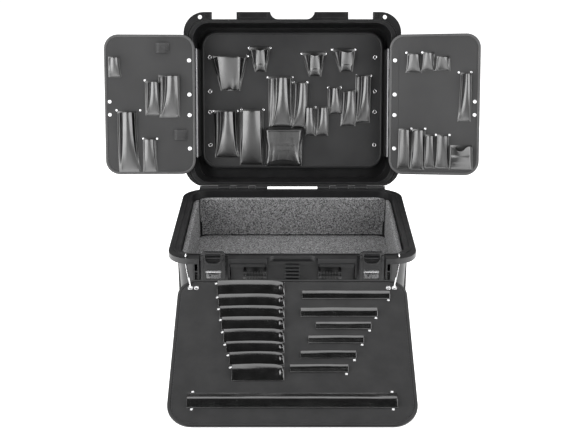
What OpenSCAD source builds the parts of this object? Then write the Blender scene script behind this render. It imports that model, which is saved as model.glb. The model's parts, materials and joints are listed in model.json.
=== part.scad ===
/* [Case] */
// Width over the rim flanges
case_w = 521; // [480:1:600]
// Depth over the rim flanges, without the hinge
case_d = 418; // [390:1:480]
// Corner radius of the rim flange
corner_r = 50; // [40:1:60]
// Height of the base, underside to rim
base_h = 165; // [150:1:220]
// Depth of the lid, rim to roof
lid_h = 75; // [70:1:100]
// Wall of the moulded shells
wall = 5; // [4:0.5:7]
// Thickness of the rim flange
flange_t = 12; // [10:0.5:16]
// Flange width outside the body, at the sides
flange_side = 17.5; // [16:0.5:24]
// Flange width outside the body, at the back
flange_back = 5.5; // [5:0.5:8]
// Flange width outside the body, at the front
flange_front = 21; // [20:0.5:30]
// Draft of the body over its height, each side
draft = 7; // [3:0.5:12]
// Angle of the open lid from closed
lid_open = 105.5; // [95:0.5:115]
// Front skirt of the lid beyond its rim line
skirt = 17; // [14:0.5:20]
// Diameter of the holes in the front corner ears
ear_hole_d = 10; // [8:0.5:11]

/* [Case hinge] */
// Diameter of the moulded knuckles
knuckle_d = 13; // [12:0.5:14]
// Diameter of the hinge pins
hinge_pin_d = 5; // [4:0.5:6]
// Width of a lid knuckle
lid_knuckle_w = 29; // [24:0.5:31]
// Distance between knuckles of one half
knuckle_pitch = 45.5; // [44:0.5:50]
// Start of each hinge group from the centre
hinge_start = 60.5; // [50:0.5:66]
// Radial running fit of a pin
pin_fit = 0.05; // [0.02:0.01:0.1]
// Gap between the ends of two knuckles
knuckle_gap = 0.4; // [0.3:0.1:0.8]

/* [Foam] */
// Thickness of the wall panels of foam
foam_t = 14.5; // [10:0.5:20]
// Thickness of the floor foam
foam_floor_t = 48; // [30:1:60]
// Distance from the rim down to the top of the foam
foam_drop = 14; // [10:1:25]
// Clearance round a foam panel
foam_gap = 0.4; // [0.2:0.1:1]

/* [Tool pallets] */
// Thickness of a pallet board
board_t = 4; // [3:0.5:6]
// Width of the edge binding on the face
binding_w = 6; // [4:0.5:9]
// Thickness of the edge binding
binding_t = 1; // [0.6:0.1:1.6]
// Distance of the centre pallet's side edges from the edge of the rim
pallet_side = 38.5; // [36:0.5:46]
// Height of the centre pallet
centre_l = 332; // [320:1:345]
// Height of the centre pallet above the lid hinge
centre_r0 = 47; // [42:1:50]
// Distance of the centre pallet's face behind the lid rim
centre_drop = 50; // [46:1:54]
// Width of a wing pallet, from its hinge axis
wing_w = 219; // [200:1:224]
// Height of a wing pallet
wing_l = 333; // [325:1:345]
// Height of a wing pallet above the lid hinge
wing_r0 = 36; // [34:1:40]
// Angle of the open left wing from folded
left_open = 177; // [150:1:178]
// Angle of the open right wing from folded
right_open = 165; // [150:1:178]
// Width of the front pallet
front_w = 457; // [440:1:470]
// Length of the front pallet
front_l = 346; // [335:1:360]
// Height of the front pallet's top edge above the floor
front_top = 143; // [138:1:146]
// Distance of the front pallet's top edge in front of the rim flange
front_out = 60; // [56:1:70]
// Thickness of the leather of a pouch
leather_t = 1.4; // [1:0.1:2]

/* [Wing hinges] */
// Distance of a wing's hinge axis outside the centre pallet
wing_hinge_out = 8; // [7:0.5:9]
// Height of the wing's hinge axis over the lid rim
wing_axis_h = 4; // [3.5:0.5:6]
// Diameter of the piano hinge barrel
piano_d = 5; // [4.5:0.1:5.4]
// Diameter of the piano hinge pin
piano_pin_d = 2.4; // [2:0.1:2.8]
// Thickness of the hinge sheet
sheet_t = 1.5; // [1:0.1:2]
// Length of the piano hinge
piano_l = 259; // [240:1:264]
// Height of the piano hinge's lower end above the lid hinge
piano_r0 = 77; // [70:1:85]
// Number of knuckles of the piano hinge
piano_n = 11; // [7:2:15]
// Width of the hinge leaf on the wing
leaf_w = 26; // [24:0.5:30]

/* [Latches] */
// Distance of a latch from the centre of the case
latch_x = 163; // [160:0.5:170]
// Width of a latch
latch_w = 50; // [46:0.5:52]
// Width of the latch slots in the rims
slot_w = 59; // [57:0.5:62]
// Height of a latch over its pivot
latch_l = 78; // [70:1:82]
// Height of the latch pivot above the floor
latch_pivot_z = 107; // [100:1:110]
// Distance of the latch pivot in front of the rim flange
latch_pivot_out = 5; // [4:0.5:7]
// Depth of the latch rails
latch_t = 10; // [8:0.5:11]
// Diameter of a latch pin
latch_pin_d = 4; // [3:0.5:5]
// Angle of the silver release inside its window
release_tilt = 15; // [10:1:20]

/* [Handle] */
// Distance of the handle's pivots from the centre
handle_x = 77.5; // [70:0.5:84]
// Width of a handle hub
hub_w = 37; // [30:0.5:39]
// Diameter of a handle hub
hub_d = 16; // [14:0.5:18]
// Length of the handle arms
handle_l = 57; // [50:1:60]
// Diameter of the grip
grip_d = 19; // [16:0.5:22]
// Height of the handle pivot above the floor
handle_z = 132; // [126:1:138]
// Distance of the handle pivot in front of the rim flange
handle_out = 7; // [6:0.5:10]
// Diameter of the handle pins
handle_pin_d = 5; // [4:0.5:6]

/* [Wire hooks] */
// Diameter of the wire
wire_d = 3.2; // [2.5:0.1:3.6]
// Distance of the ear holes from the side of the rim
ear_side = 39.5; // [38:0.5:43]
// Distance of the ear holes behind the front edge of the skirt
ear_in = 12; // [10:0.5:13]
// Distance of the outer grommets from the front pallet's side edges
grommet_side = 24.5; // [23:0.5:29]
// Distance between the two grommets of a pair
grommet_pitch = 12; // [11:0.5:14]
// Distance of the grommets below the pallet's top edge
grommet_in = 22; // [14:0.5:24]
// Diameter of the grommet holes
grommet_d = 7.2; // [6.8:0.1:8]

/* [Hidden] */
$fn = 48;

// Planes and sizes that follow from the driving dimensions
lean = lid_open - 90;
hinge_gap = 5;
hinge_y = case_d / 2 + hinge_gap;
rim_l = case_d - skirt;
centre_w = case_w - 2 * pallet_side;
wing_axis_x = centre_w / 2 + wing_hinge_out;
ear_x = case_w / 2 - ear_side;
grommet_x = front_w / 2 - grommet_side;
cav_w = case_w - 2 * flange_side - 2 * wall;
cav_front = hinge_gap + case_d - flange_front - wall;
cav_back = hinge_gap + flange_back + wall;
cav_r = corner_r - 12;
groove_h = 2;
floor_z = groove_h + 4.3;
foam_top = base_h - foam_drop;
foam_floor_top = floor_z + foam_gap + foam_floor_t;
tongue_w = 3;
tongue_h = 2.5;
groove_w = 4;
groove_d = 6;
groove_in = 11.5;
groove_r0 = 10;
groove_r1 = hinge_gap + rim_l - 4.5;
seal_t = 3;
slot_l = latch_x - slot_w / 2;
ear_t = 8;
rib_t = 4;
pallet_z = lid_h - wall;
bracket_h = centre_drop + board_t;
post_h = pallet_z - bracket_h - sheet_t;
board_n = 0.8;
black = [0.09, 0.09, 0.095];
moulded = [0.13, 0.13, 0.14];
foam_grey = [0.36, 0.36, 0.37];
vinyl = [0.11, 0.11, 0.115];
leather = [0.05, 0.05, 0.055];
steel = [0.8, 0.8, 0.8];

// Rivets of the side edges: heights above the hinge sheet's lower end, and places across
side_rivet_r = [for (r = [27, 108, 158, 241]) piano_r0 + r];
side_rivet_in = 20;
side_rivet_x = centre_w / 2 - side_rivet_in;
side_rivet_d = 9;
rivet_shank_d = 4;
rivet_bore_d = rivet_shank_d + 0.2;
wing_rivet_r = [for (r = [21, 101, 150, 231]) piano_r0 + r];
wing_rivet_s = 17;

// A flat rounded rectangle from y0 to y1, with one radius at the low end and one at the high end
module rounded(w, y0, y1, r0, r1) {
  translate([-w / 2, y0 + r0]) square([w, y1 - y0 - r0 - r1]);
  translate([-w / 2 + r0, y0]) square([w - 2 * r0, r0 + 1]);
  translate([-w / 2 + r1, y1 - r1 - 1]) square([w - 2 * r1, r1 + 1]);
  for (side = [-1, 1]) {
    translate([side * (w / 2 - r0), y0 + r0]) circle(r0);
    translate([side * (w / 2 - r1), y1 - r1]) circle(r1);
  }
}

// The lid's own frame: x across, y up the lid from the hinge, z into the case
module in_lid() {
  translate([0, hinge_y, base_h]) rotate([90 - lean, 0, 0]) children();
}

// The base seen the same way: x across, y forward from the hinge, z down into the base
module in_base() {
  translate([0, hinge_y, base_h]) rotate([180, 0, 0]) children();
}

// A wing's own frame: x outward from the hinge axis, y up the lid, z out of the pouch side
module in_wing(side) {
  open = side > 0 ? right_open : left_open;
  in_lid() mirror([side > 0 ? 0 : 1, 0, 0])
    translate([wing_axis_x, 0, wing_axis_h]) rotate([0, open - 180, 0]) children();
}

// The front pallet's own frame: x across, y up the board from its top edge, z out of its face
front_tilt = asin(front_top / front_l);
front_y = -case_d / 2 - front_out;
module in_front() {
  translate([0, front_y, front_top]) rotate([front_tilt, 0, 0]) children();
}

// The shared half shell: a drafted body with a rounded roof edge, open at z = 0
module body_form(depth, inset, r_edge) {
  w = cav_w + 2 * wall - 2 * inset;
  y0 = cav_back - wall + inset;
  y1 = cav_front + wall - inset;
  r = cav_r + wall - inset;
  hull() {
    linear_extrude(0.02) rounded(w, y0, y1, r, r);
    translate([0, 0, -(depth - r_edge)])
      linear_extrude(0.02) rounded(w - 2 * draft, y0 + draft, y1 - draft, r - 4, r - 4);
    translate([0, 0, -(depth - r_edge * 0.3)]) linear_extrude(0.02)
      rounded(w - 2 * draft - r_edge * 0.7, y0 + draft + r_edge * 0.35,
        y1 - draft - r_edge * 0.35, r - 7, r - 7);
    translate([0, 0, -depth]) linear_extrude(0.02)
      rounded(w - 2 * draft - 2 * r_edge, y0 + draft + r_edge, y1 - draft - r_edge, r - 12, r - 12);
  }
}

// The rim outline with its latch slots and its centre scooped out for the hand
scoop_in = 34;
scoop_r = 19;
module rim_outline() {
  difference() {
    rounded(case_w, hinge_gap, hinge_gap + case_d, corner_r, corner_r);
    for (side = [-1, 1])
      translate([side * latch_x - slot_w / 2, hinge_gap + rim_l]) square([slot_w, skirt + 1]);
    translate([-scoop_in, hinge_gap + rim_l]) square([2 * scoop_in, skirt + 1]);
    translate([-scoop_in - scoop_r, hinge_gap + rim_l + skirt - 1])
      square([2 * (scoop_in + scoop_r), 2]);
    for (side = [-1, 1])
      translate([side * scoop_in, hinge_gap + rim_l + scoop_r]) circle(scoop_r);
  }
}

// A ring that follows the rim, for the groove and the tongue
module rim_ring(w) {
  half = case_w / 2 - groove_in;
  difference() {
    rounded(2 * half + w, groove_r0 - w / 2, groove_r1 + w / 2, corner_r - 8, corner_r - 8);
    rounded(2 * half - w, groove_r0 + w / 2, groove_r1 - w / 2, corner_r - 8 - w, corner_r - 8 - w);
  }
}

// Knuckle places along the case hinge: the first of each width starts at hinge_start
function lid_knuckle_x(i) = hinge_start + lid_knuckle_w / 2 + i * knuckle_pitch;
base_knuckle_w = knuckle_pitch - lid_knuckle_w - 2 * knuckle_gap;
end_knuckle = 28;
function base_knuckle_wide(i) = base_knuckle_w + (i < 2 ? 0 : end_knuckle);
function base_knuckle_x(i) = lid_knuckle_x(i) + knuckle_pitch / 2 + (i < 2 ? 0 : end_knuckle / 2);

// One moulded knuckle with its root, along x, on the flange at y > 0 and z < 0
module knuckle(x, w) {
  translate([x - w / 2, 0, 0]) rotate([90, 0, 90]) cylinder(h = w, d = knuckle_d);
  translate([x - w / 2, 0, -knuckle_d / 2]) cube([w, hinge_gap + 4, knuckle_d / 2 - 0.5]);
}

module pin_bore(x, w, d) {
  translate([x - w / 2 - 1, 0, 0]) rotate([90, 0, 90]) cylinder(h = w + 2, d = d + 2 * pin_fit);
}

// Room cut into a flange for a knuckle of the other half
module knuckle_room(x, w) {
  translate([x - w / 2 - knuckle_gap, 0, 0]) rotate([90, 0, 90])
    cylinder(h = w + 2 * knuckle_gap, d = knuckle_d + 2.4);
}

// Both shells use the same cut for the holes in the front corner ears
module ear_holes() {
  for (side = [-1, 1])
    translate([side * ear_x, hinge_gap + case_d - ear_in, -30]) cylinder(h = 60, d = ear_hole_d);
}

// Base shell, drawn with its rim at z = 0 and its body below, then turned upright
bay_w = 2 * (slot_l - rib_t - 1);
bay_top = -flange_t;
bay_bottom = -(base_h - 44);
front_wall = cav_front + wall;
module base_shell() color(moulded) in_base() mirror([0, 0, 1]) difference() {
  union() {
    body_form(base_h, 0, 14);
    translate([0, 0, -flange_t]) linear_extrude(flange_t) rim_outline();
    linear_extrude(tongue_h) rim_ring(tongue_w);
    for (side = [-1, 1], i = [0:2]) knuckle(side * base_knuckle_x(i), base_knuckle_wide(i));
    base_ribs();
    base_rails();
    base_bay();
    latch_walls();
  }
  body_cavity(base_h - floor_z);
  for (side = [-1, 1], i = [0:2]) {
    knuckle_room(side * lid_knuckle_x(i), lid_knuckle_w);
    pin_bore(side * base_knuckle_x(i), base_knuckle_wide(i), hinge_pin_d);
  }
  ear_holes();
  base_bay_cuts();
  latch_bores();
  under_groove();
}

// The inner space of a half shell
module body_cavity(depth) {
  r = cav_r;
  hull() {
    translate([0, 0, 1]) linear_extrude(5) rounded(cav_w, cav_back, cav_front, r, r);
    translate([0, 0, -depth]) linear_extrude(0.02)
      rounded(cav_w - 2 * draft, cav_back + draft, cav_front - draft, r - 4, r - 4);
  }
}

// A shallow groove round the underside, which leaves a flat panel and a flat border to stand on
module under_groove() {
  translate([0, 0, -base_h - 1]) linear_extrude(groove_h + 1) difference() {
    rounded(cav_w - 90, cav_back + 50, cav_front - 50, 30, 30);
    rounded(cav_w - 126, cav_back + 68, cav_front - 68, 20, 20);
  }
}

// Upright stiffening ribs on the sides and the back, below the flange
rib_out = 6;
module base_ribs() {
  for (side = [-1, 1], y = [120, 140, 290, 310])
    translate([side > 0 ? cav_w / 2 - 4 : -cav_w / 2 - wall - rib_out, y - rib_t / 2, -base_h + 30])
      cube([wall + rib_out + 4, rib_t, base_h - 30 - flange_t + 1]);
  for (side = [-1, 1], x = [30, 214])
    translate([side * x - rib_t / 2, cav_back - wall - 5, -base_h + 30])
      cube([rib_t, wall + 8, base_h - 30 - flange_t + 1]);
}

// Rails under the front flange, from the hand's scoop to the latch walls
rail_h = 7;
rail_out = 1.5;
rail_start = scoop_in + scoop_r + 3;
module base_rails() {
  for (side = [0, 1]) mirror([side, 0, 0])
    translate([rail_start, hinge_gap + case_d - 6, -flange_t - rail_h + 1])
      cube([slot_l - rib_t - 1 - rail_start, 6 + rail_out, rail_h]);
}

// The moulded bay for the handle, with its pivot cheeks, the ribbed centre block and the finger wells
cheek_t = 5;
cheek_in = handle_x - hub_w / 2 - knuckle_gap - cheek_t;
cheek_out = handle_x + hub_w / 2 + knuckle_gap;
handle_y = hinge_gap + case_d + handle_out;
bay_face = front_wall + 9;
module base_bay() {
  translate([-bay_w / 2, front_wall - 12, bay_bottom])
    cube([bay_w, bay_face - front_wall + 12, bay_top - bay_bottom + 1]);
  for (side = [-1, 1], x = [cheek_in, cheek_out])
    translate([side > 0 ? x : -x - cheek_t, bay_face - 1, handle_z - base_h]) handle_cheek();
  for (z = [0:4])
    translate([-14, bay_face - 1, bay_top - 10 - 8 * z]) cube([28, 5, 4]);
}

// One cheek: a round ear with a straight root on the bay's face
module handle_cheek() {
  reach = handle_y - bay_face + 1;
  translate([0, reach, 0]) rotate([90, 0, 90]) cylinder(h = cheek_t, d = hub_d);
  translate([0, 0, -hub_d / 2]) cube([cheek_t, reach, hub_d]);
}

well_x0 = 16;
well_x1 = 53;
module base_bay_cuts() {
  for (side = [-1, 1]) {
    translate([side > 0 ? well_x0 : -well_x1, front_wall + 1, bay_bottom + 30])
      cube([well_x1 - well_x0, 40, bay_top - bay_bottom - 36]);
    translate([side * handle_x - hub_w / 2 - 0.4, front_wall + 2, bay_bottom + 14])
      cube([hub_w + 0.8, 8, bay_top - bay_bottom - 26]);
    translate([side > 0 ? cheek_in - 1 : -cheek_out - cheek_t - 1, handle_y, handle_z - base_h])
      rotate([90, 0, 90])
        cylinder(h = cheek_out + cheek_t - cheek_in + 2, d = handle_pin_d + 2 * pin_fit);
  }
}

// Two walls on each side of a latch that carry its pin, and a small framed pocket outside it
pocket_w = 10;
pocket_out = 17;
pocket_z = -32;
latch_y = hinge_gap + case_d + latch_pivot_out;
latch_wall_out = latch_y + 7;
latch_wall_low = latch_pivot_z - 10;
module latch_walls() {
  for (side = [-1, 1], edge = [-1, 1]) {
    x = side * latch_x + edge * (slot_w / 2 + rib_t / 2);
    translate([x - rib_t / 2, front_wall - 12, latch_wall_low - base_h]) {
      cube([rib_t, latch_wall_out - front_wall + 12, 20]);
      cube([rib_t, hinge_gap + case_d - front_wall + 12, base_h - latch_wall_low - 1]);
    }
    translate([x - rib_t / 2 + edge * pocket_w, front_wall - 12, -base_h + 30])
      cube([rib_t, 12 + (side == edge ? pocket_out : 7), base_h - 31]);
  }
  for (side = [0, 1]) mirror([side, 0, 0]) translate([latch_x + slot_w / 2 + 1, front_wall - 12, 0]) {
    translate([0, 0, pocket_z]) cube([pocket_w + 4, 12 + pocket_out, 3]);
    translate([0, 0, pocket_z - 7]) cube([pocket_w + 4, 8 + pocket_out, 2]);
  }
}

module latch_bores() {
  for (side = [-1, 1])
    translate([side * latch_x - slot_w / 2 - rib_t - 1, latch_y, latch_pivot_z - base_h])
      rotate([90, 0, 90]) cylinder(h = slot_w + 2 * rib_t + 2, d = latch_pin_d + 2 * pin_fit);
}

// Foam lining: separate panels cut from sheet
foam_w = cav_w - 2 * foam_gap;
module foam_sheet(x, y0, y1, z0, z1) {
  intersection() {
    translate([-x, hinge_y - y1, z0]) cube([2 * x, y1 - y0, z1 - z0]);
    in_base() mirror([0, 0, 1]) foam_space();
  }
}

// The cavity less the clearance, straight from floor to rim
module foam_space() {
  hull() {
    linear_extrude(0.02)
      rounded(foam_w, cav_back + foam_gap, cav_front - foam_gap, cav_r, cav_r);
    translate([0, 0, -(base_h - floor_z)]) linear_extrude(0.02)
      rounded(foam_w - 2 * draft, cav_back + draft + foam_gap, cav_front - draft - foam_gap,
        cav_r - 4, cav_r - 4);
  }
}

module foam_floor() color(foam_grey)
  foam_sheet(case_w / 2, 0, case_d + 10, floor_z + foam_gap, foam_floor_top);

module foam_rear() color(foam_grey)
  foam_sheet(case_w / 2, cav_back, cav_back + foam_t, foam_floor_top + foam_gap, foam_top);

module foam_front() color(foam_grey)
  foam_sheet(case_w / 2, cav_front - foam_t, cav_front, foam_floor_top + foam_gap, foam_top);

module foam_side(side) {
  intersection() {
    foam_sheet(case_w / 2, cav_back + foam_t + foam_gap, cav_front - foam_t - foam_gap,
      foam_floor_top + foam_gap, foam_top);
    translate([side > 0 ? cav_w / 2 - foam_t : -case_w / 2, -case_d, 0])
      cube([case_w / 2 - cav_w / 2 + foam_t, 2 * case_d, base_h]);
  }
}

module foam_left() color(foam_grey) foam_side(-1);
module foam_right() color(foam_grey) foam_side(1);

// Pins of the case hinge, the latches and the handle
pin_l = 3 * knuckle_pitch - knuckle_gap;
module lid_hinge_pins() color(steel) {
  for (side = [-1, 1])
    translate([side > 0 ? hinge_start + 0.5 : -hinge_start - 0.5 - pin_l + 1, hinge_y, base_h])
      rotate([0, 90, 0]) cylinder(h = pin_l - 1, d = hinge_pin_d);
}

module latch_pins() color(steel) {
  for (side = [-1, 1])
    translate([side * latch_x - slot_w / 2 - rib_t, hinge_y - latch_y, latch_pivot_z])
      rotate([0, 90, 0]) cylinder(h = slot_w + 2 * rib_t, d = latch_pin_d);
}

module handle_pins() color(steel) {
  for (side = [-1, 1])
    translate([side > 0 ? cheek_in : -cheek_out - cheek_t, hinge_y - handle_y, handle_z])
      rotate([0, 90, 0]) cylinder(h = cheek_out + cheek_t - cheek_in, d = handle_pin_d);
}

// Lid shell: drafted roof, rim flange with a seal groove, skirt with ears, posts for the pallet
module lid_shell() color(moulded) in_lid() difference() {
  union() {
    difference() {
      union() {
        body_form(lid_h, 0, 12);
        translate([0, 0, -flange_t]) linear_extrude(flange_t)
          rounded(case_w, hinge_gap, hinge_gap + rim_l, corner_r, corner_r);
        translate([0, 0, -ear_t]) linear_extrude(ear_t) rim_outline();
        lid_rim_ribs();
        lid_roof_ribs();
      }
      body_cavity(pallet_z);
    }
    for (side = [-1, 1], i = [0:2]) knuckle(side * lid_knuckle_x(i), lid_knuckle_w);
    for (side = [-1, 1], r = side_rivet_r)
      translate([side * side_rivet_x, r, -pallet_z - 1]) cylinder(h = post_h + 1, d = 14);
  }
  translate([0, 0, -groove_d]) linear_extrude(groove_d + 1) rim_ring(groove_w);
  for (side = [-1, 1], i = [0:2]) {
    knuckle_room(side * base_knuckle_x(i), base_knuckle_wide(i));
    pin_bore(side * lid_knuckle_x(i), lid_knuckle_w, hinge_pin_d);
  }
  for (side = [-1, 1], r = side_rivet_r)
    translate([side * side_rivet_x, r, -pallet_z + 1]) cylinder(h = post_h + 1, d = rivet_bore_d);
  ear_holes();
  ear_pockets();
  skirt_pockets();
}

// Shallow panels sunk in the skirt between the hand's scoop and the latch slots
skirt_pocket_t = 1.2;
module skirt_pockets() {
  for (side = [0, 1]) mirror([side, 0, 0]) {
    translate([scoop_in + scoop_r + 7, hinge_gap + rim_l + 4, -skirt_pocket_t])
      cube([slot_l - 6 - scoop_in - scoop_r - 7, skirt - 7, skirt_pocket_t + 1]);
    translate([latch_x + slot_w / 2 + 3, hinge_gap + rim_l + 4, -skirt_pocket_t])
      cube([8, skirt - 7, skirt_pocket_t + 1]);
  }
}

// Paired ribs beside the latch slots, proud of the skirt's outer face
module lid_rim_ribs() {
  for (side = [-1, 1], edge = [-1, 1], k = [0, 1])
    translate([side * latch_x + edge * (slot_w / 2 + 1.5 + 7 * k) - 1.5, hinge_gap + rim_l - 14, -ear_t - 5])
      cube([3, skirt + 13, 6]);
}

// Shallow raised bands over the roof and down its sides
module lid_roof_ribs() {
  for (x = [-150, -75, 75, 150])
    translate([x - 9, cav_back + 40, -lid_h - 1.5]) cube([18, cav_front - cav_back - 80, 4]);
}

// Small ribbed pockets beside the ear holes
module ear_pockets() {
  for (side = [-1, 1], k = [0:2])
    translate([side * (ear_x - 18) - 6, hinge_gap + case_d - 5.5 - 4.5 * k, -3]) cube([12, 2.8, 5]);
}

module lid_seal() color(black) in_lid()
  translate([0, 0, -groove_d]) linear_extrude(seal_t) rim_ring(groove_w - 0.1);

// A pallet board and its edge binding, face at z = board_t
module board(w, y0, y1, r0, r1) {
  linear_extrude(board_t) rounded(w - 2 * binding_t, y0 + binding_t, y1 - binding_t,
    r0 - binding_t, r1 - binding_t);
}

module binding(w, y0, y1, r0, r1) {
  difference() {
    linear_extrude(board_t + binding_t) rounded(w, y0, y1, r0, r1);
    translate([0, 0, -1]) linear_extrude(board_t + 1)
      rounded(w - 2 * binding_t, y0 + binding_t, y1 - binding_t, r0 - binding_t, r1 - binding_t);
    linear_extrude(board_t + binding_t + 1)
      rounded(w - 2 * binding_w, y0 + binding_w, y1 - binding_w, r0 - binding_w, r1 - binding_w);
  }
}

// A round rivet: a low domed head on a face at z = 0, with a shank below it
module rivet_head(d) {
  rotate_extrude() intersection() {
    translate([0, d * 0.25 - d * 0.725]) circle(d * 0.725);
    square([d, d]);
  }
}

module rivet(d, shank_d, shank_l) {
  rivet_head(d);
  if (shank_l > 0) translate([0, 0, -shank_l]) cylinder(h = shank_l + 0.3, d = shank_d);
}

// A leather pouch on a board at z = 0, closed at its foot (y = 0) and open at the top:
// arched and narrow at the mouth, wide and flat at the foot
module pouch_form(mouth, foot, length, depth, foot_depth, lean_x, inset) {
  m = mouth / 2 - inset;
  f = foot / 2 - inset;
  d = depth - inset;
  r = min(m, d) * 0.7;
  hull() {
    translate([lean_x, length + (inset > 0 ? 1 : 0), -0.02]) rotate([90, 0, 0])
      linear_extrude(length * 0.35) pouch_arch(m, d, r);
    translate([0, inset + 0.5, -0.02]) rotate([90, 0, 0])
      linear_extrude(0.5) pouch_arch(f, max(foot_depth - inset, 1.2), 1);
  }
}

// Half arch section, flat on the board
module pouch_arch(half, d, r) {
  translate([-half, 0]) square([2 * half, max(d - r, 0.6)]);
  translate([-half + r, 0]) square([2 * (half - r), d]);
  for (side = [-1, 1]) translate([side * (half - r), d - r]) circle(r, $fn = 20);
}

// place: [x of the foot, y of the foot, mouth width, foot width, length, depth, sideways lean]
// The places are drawn for boards of these widths and top edges, and follow the real board
drawn_centre = [444, 379];
drawn_wing = [219, 369];
drawn_front = [457, 346];
$lay = [1, 1];
function laid(p) = [
  p[0] * $lay[0], p[1] * $lay[1], p[2] * $lay[0], p[3] * $lay[0], p[4] * $lay[1], p[5], p[6] * $lay[0]];
foot_depth = 6;
module pouch(place) {
  p = laid(place);
  translate([p[0], p[1], 0]) intersection() {
    difference() {
      pouch_form(p[2], p[3], p[4], p[5], foot_depth, p[6], 0);
      pouch_form(p[2], p[3], p[4], p[5], foot_depth, p[6], leather_t);
    }
    translate([-200, -1, 0]) cube([400, 500, 60]);
  }
}

// Centre pallet in the lid, with x from the lid's centre and y above the hinge
centre_corner = 37;
module in_centre() in_lid() translate([0, 0, -bracket_h]) children();
module on_centre() {
  $lay = [centre_w / drawn_centre[0], (centre_r0 + centre_l) / drawn_centre[1]];
  in_centre() translate([0, 0, board_t]) children();
}

module centre_pallet() color(vinyl) in_centre() difference() {
  board(centre_w, centre_r0, centre_r0 + centre_l, centre_corner, centre_corner);
  for (side = [-1, 1], r = side_rivet_r)
    translate([side * side_rivet_x, r, -1]) cylinder(h = board_t + 2, d = rivet_bore_d);
}

module centre_binding() color(black) in_centre()
  binding(centre_w, centre_r0, centre_r0 + centre_l, centre_corner, centre_corner);

module pallet_rivets() color(steel) on_centre() {
  for (side = [-1, 1], r = side_rivet_r)
    translate([side * side_rivet_x, r, 0]) rivet(side_rivet_d, rivet_shank_d, board_t + sheet_t + post_h - 2);
}

fan_places = [[-152, 238, 84, 48, 80, 24, 0]];
plier_places = [
  [-78, 284, 50, 27, 54, 22, -2], [54, 272, 56, 25, 52, 22, -2], [132, 285, 54, 32, 49, 22, -7]];
double_places = [[-29, 151, 57, 58, 116, 20, -1], [17.5, 148, 28, 31, 107, 18, 2]];
short_places = [[46, 129, 20, 22, 65, 15, -1], [73, 129, 20, 27, 65, 15, 4]];
stepped_places = [
  [106, 181, 28, 28, 61, 16, -3], [136, 152, 26, 33, 81, 16, 3], [173, 160, 28, 33, 111, 18, 2]];
wide_places = [[-162, 75, 44, 56, 110, 24, -2], [-100, 57, 52, 52, 131, 26, 2]];

module fan_pouch() color(leather) on_centre() for (p = fan_places) pouch(p);
module plier_holsters() color(leather) on_centre() for (p = plier_places) pouch(p);
module double_pouches() color(leather) on_centre() for (p = double_places) pouch(p);
module short_pouches() color(leather) on_centre() for (p = short_places) pouch(p);
module stepped_pouches() color(leather) on_centre() for (p = stepped_places) pouch(p);
module wide_pouches() color(leather) on_centre() for (p = wide_places) pouch(p);

// The pouch whose flap folds over its mouth and down its front
flap_place = [-22, 54, 84, 90, 86, 26, 2];
flap_hem = 34;
module flap_pouch() color(leather) on_centre() {
  pouch(flap_place);
  flap(flap_place);
}

module flap(place) {
  p = laid(place);
  translate([p[0], p[1], 0]) difference() {
    intersection() {
      pouch_form(p[2], p[3], p[4], p[5], foot_depth, p[6], -leather_t);
      translate([-p[3], flap_hem, p[5] * 0.45]) cube([2 * p[3], p[4], 2 * p[5]]);
    }
    pouch_form(p[2], p[3], p[4], p[5], foot_depth, p[6], 0.3);
  }
  translate([p[0] + p[6], p[1] + p[4] + leather_t, 0]) rotate([90, 0, 0]) linear_extrude(2 * leather_t)
    intersection() {
      pouch_arch(p[2] / 2 + leather_t, p[5] + leather_t, p[5] * 0.7);
      translate([-p[3], 0]) square([2 * p[3], 2 * p[5]]);
    }
}

// Small rivets at the upper corners of each pouch
small_rivet_d = 5;
module pouch_rivets(places, sides = [-1, 1]) {
  for (place = places, side = sides) {
    p = laid(place);
    translate([p[0] + p[6] + side * (max(p[2], p[3]) / 2 + small_rivet_d * 0.2), p[1] + p[4] + 2.6, 0])
      rivet(small_rivet_d, 2, 0);
  }
}

module centre_pouch_rivets() color(steel) on_centre() {
  pouch_rivets(fan_places, [1]);
  pouch_rivets(plier_places);
  pouch_rivets(double_places);
  pouch_rivets([short_places[0]], [1]);
  pouch_rivets([stepped_places[0], stepped_places[2]]);
  pouch_rivets(wide_places);
}

// Piano hinge of a wing, in the wing's own frame with the axis on y
piano_pitch = piano_l / piano_n;
module piano_barrels(first) {
  for (i = [first:2:piano_n - 1])
    translate([0, piano_r0 + i * piano_pitch + knuckle_gap / 2, 0]) rotate([-90, 0, 0])
      cylinder(h = piano_pitch - knuckle_gap, d = piano_d);
}

module piano_bore() {
  translate([0, piano_r0 - 1, 0]) rotate([-90, 0, 0])
    cylinder(h = piano_l + 2, d = piano_pin_d + 2 * pin_fit);
}

// The bracket that carries the pallet's edge and the fixed half of the hinge
web_x = wing_axis_x - 3;
module wing_bracket(side) {
  foot_x = side_rivet_x - 12;
  in_lid() mirror([side > 0 ? 0 : 1, 0, 0]) difference() {
    union() {
      translate([foot_x, piano_r0, -bracket_h - sheet_t]) cube([web_x + sheet_t - foot_x, piano_l, sheet_t]);
      translate([web_x, piano_r0, -bracket_h - sheet_t])
        cube([sheet_t, piano_l, bracket_h + sheet_t + wing_axis_h - piano_d / 2 - 0.6]);
      for (i = [0:2:piano_n - 1])
        translate([web_x, piano_r0 + i * piano_pitch + knuckle_gap / 2, 0])
          cube([sheet_t, piano_pitch - knuckle_gap, wing_axis_h]);
      translate([wing_axis_x, 0, wing_axis_h]) piano_barrels(0);
    }
    translate([wing_axis_x, 0, wing_axis_h]) piano_bore();
    for (r = side_rivet_r)
      translate([side_rivet_x, r, -bracket_h - 5]) cylinder(h = 10, d = rivet_bore_d);
  }
}

module wing_bracket_left() color([0.75, 0.75, 0.77]) wing_bracket(-1);
module wing_bracket_right() color([0.75, 0.75, 0.77]) wing_bracket(1);

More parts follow.
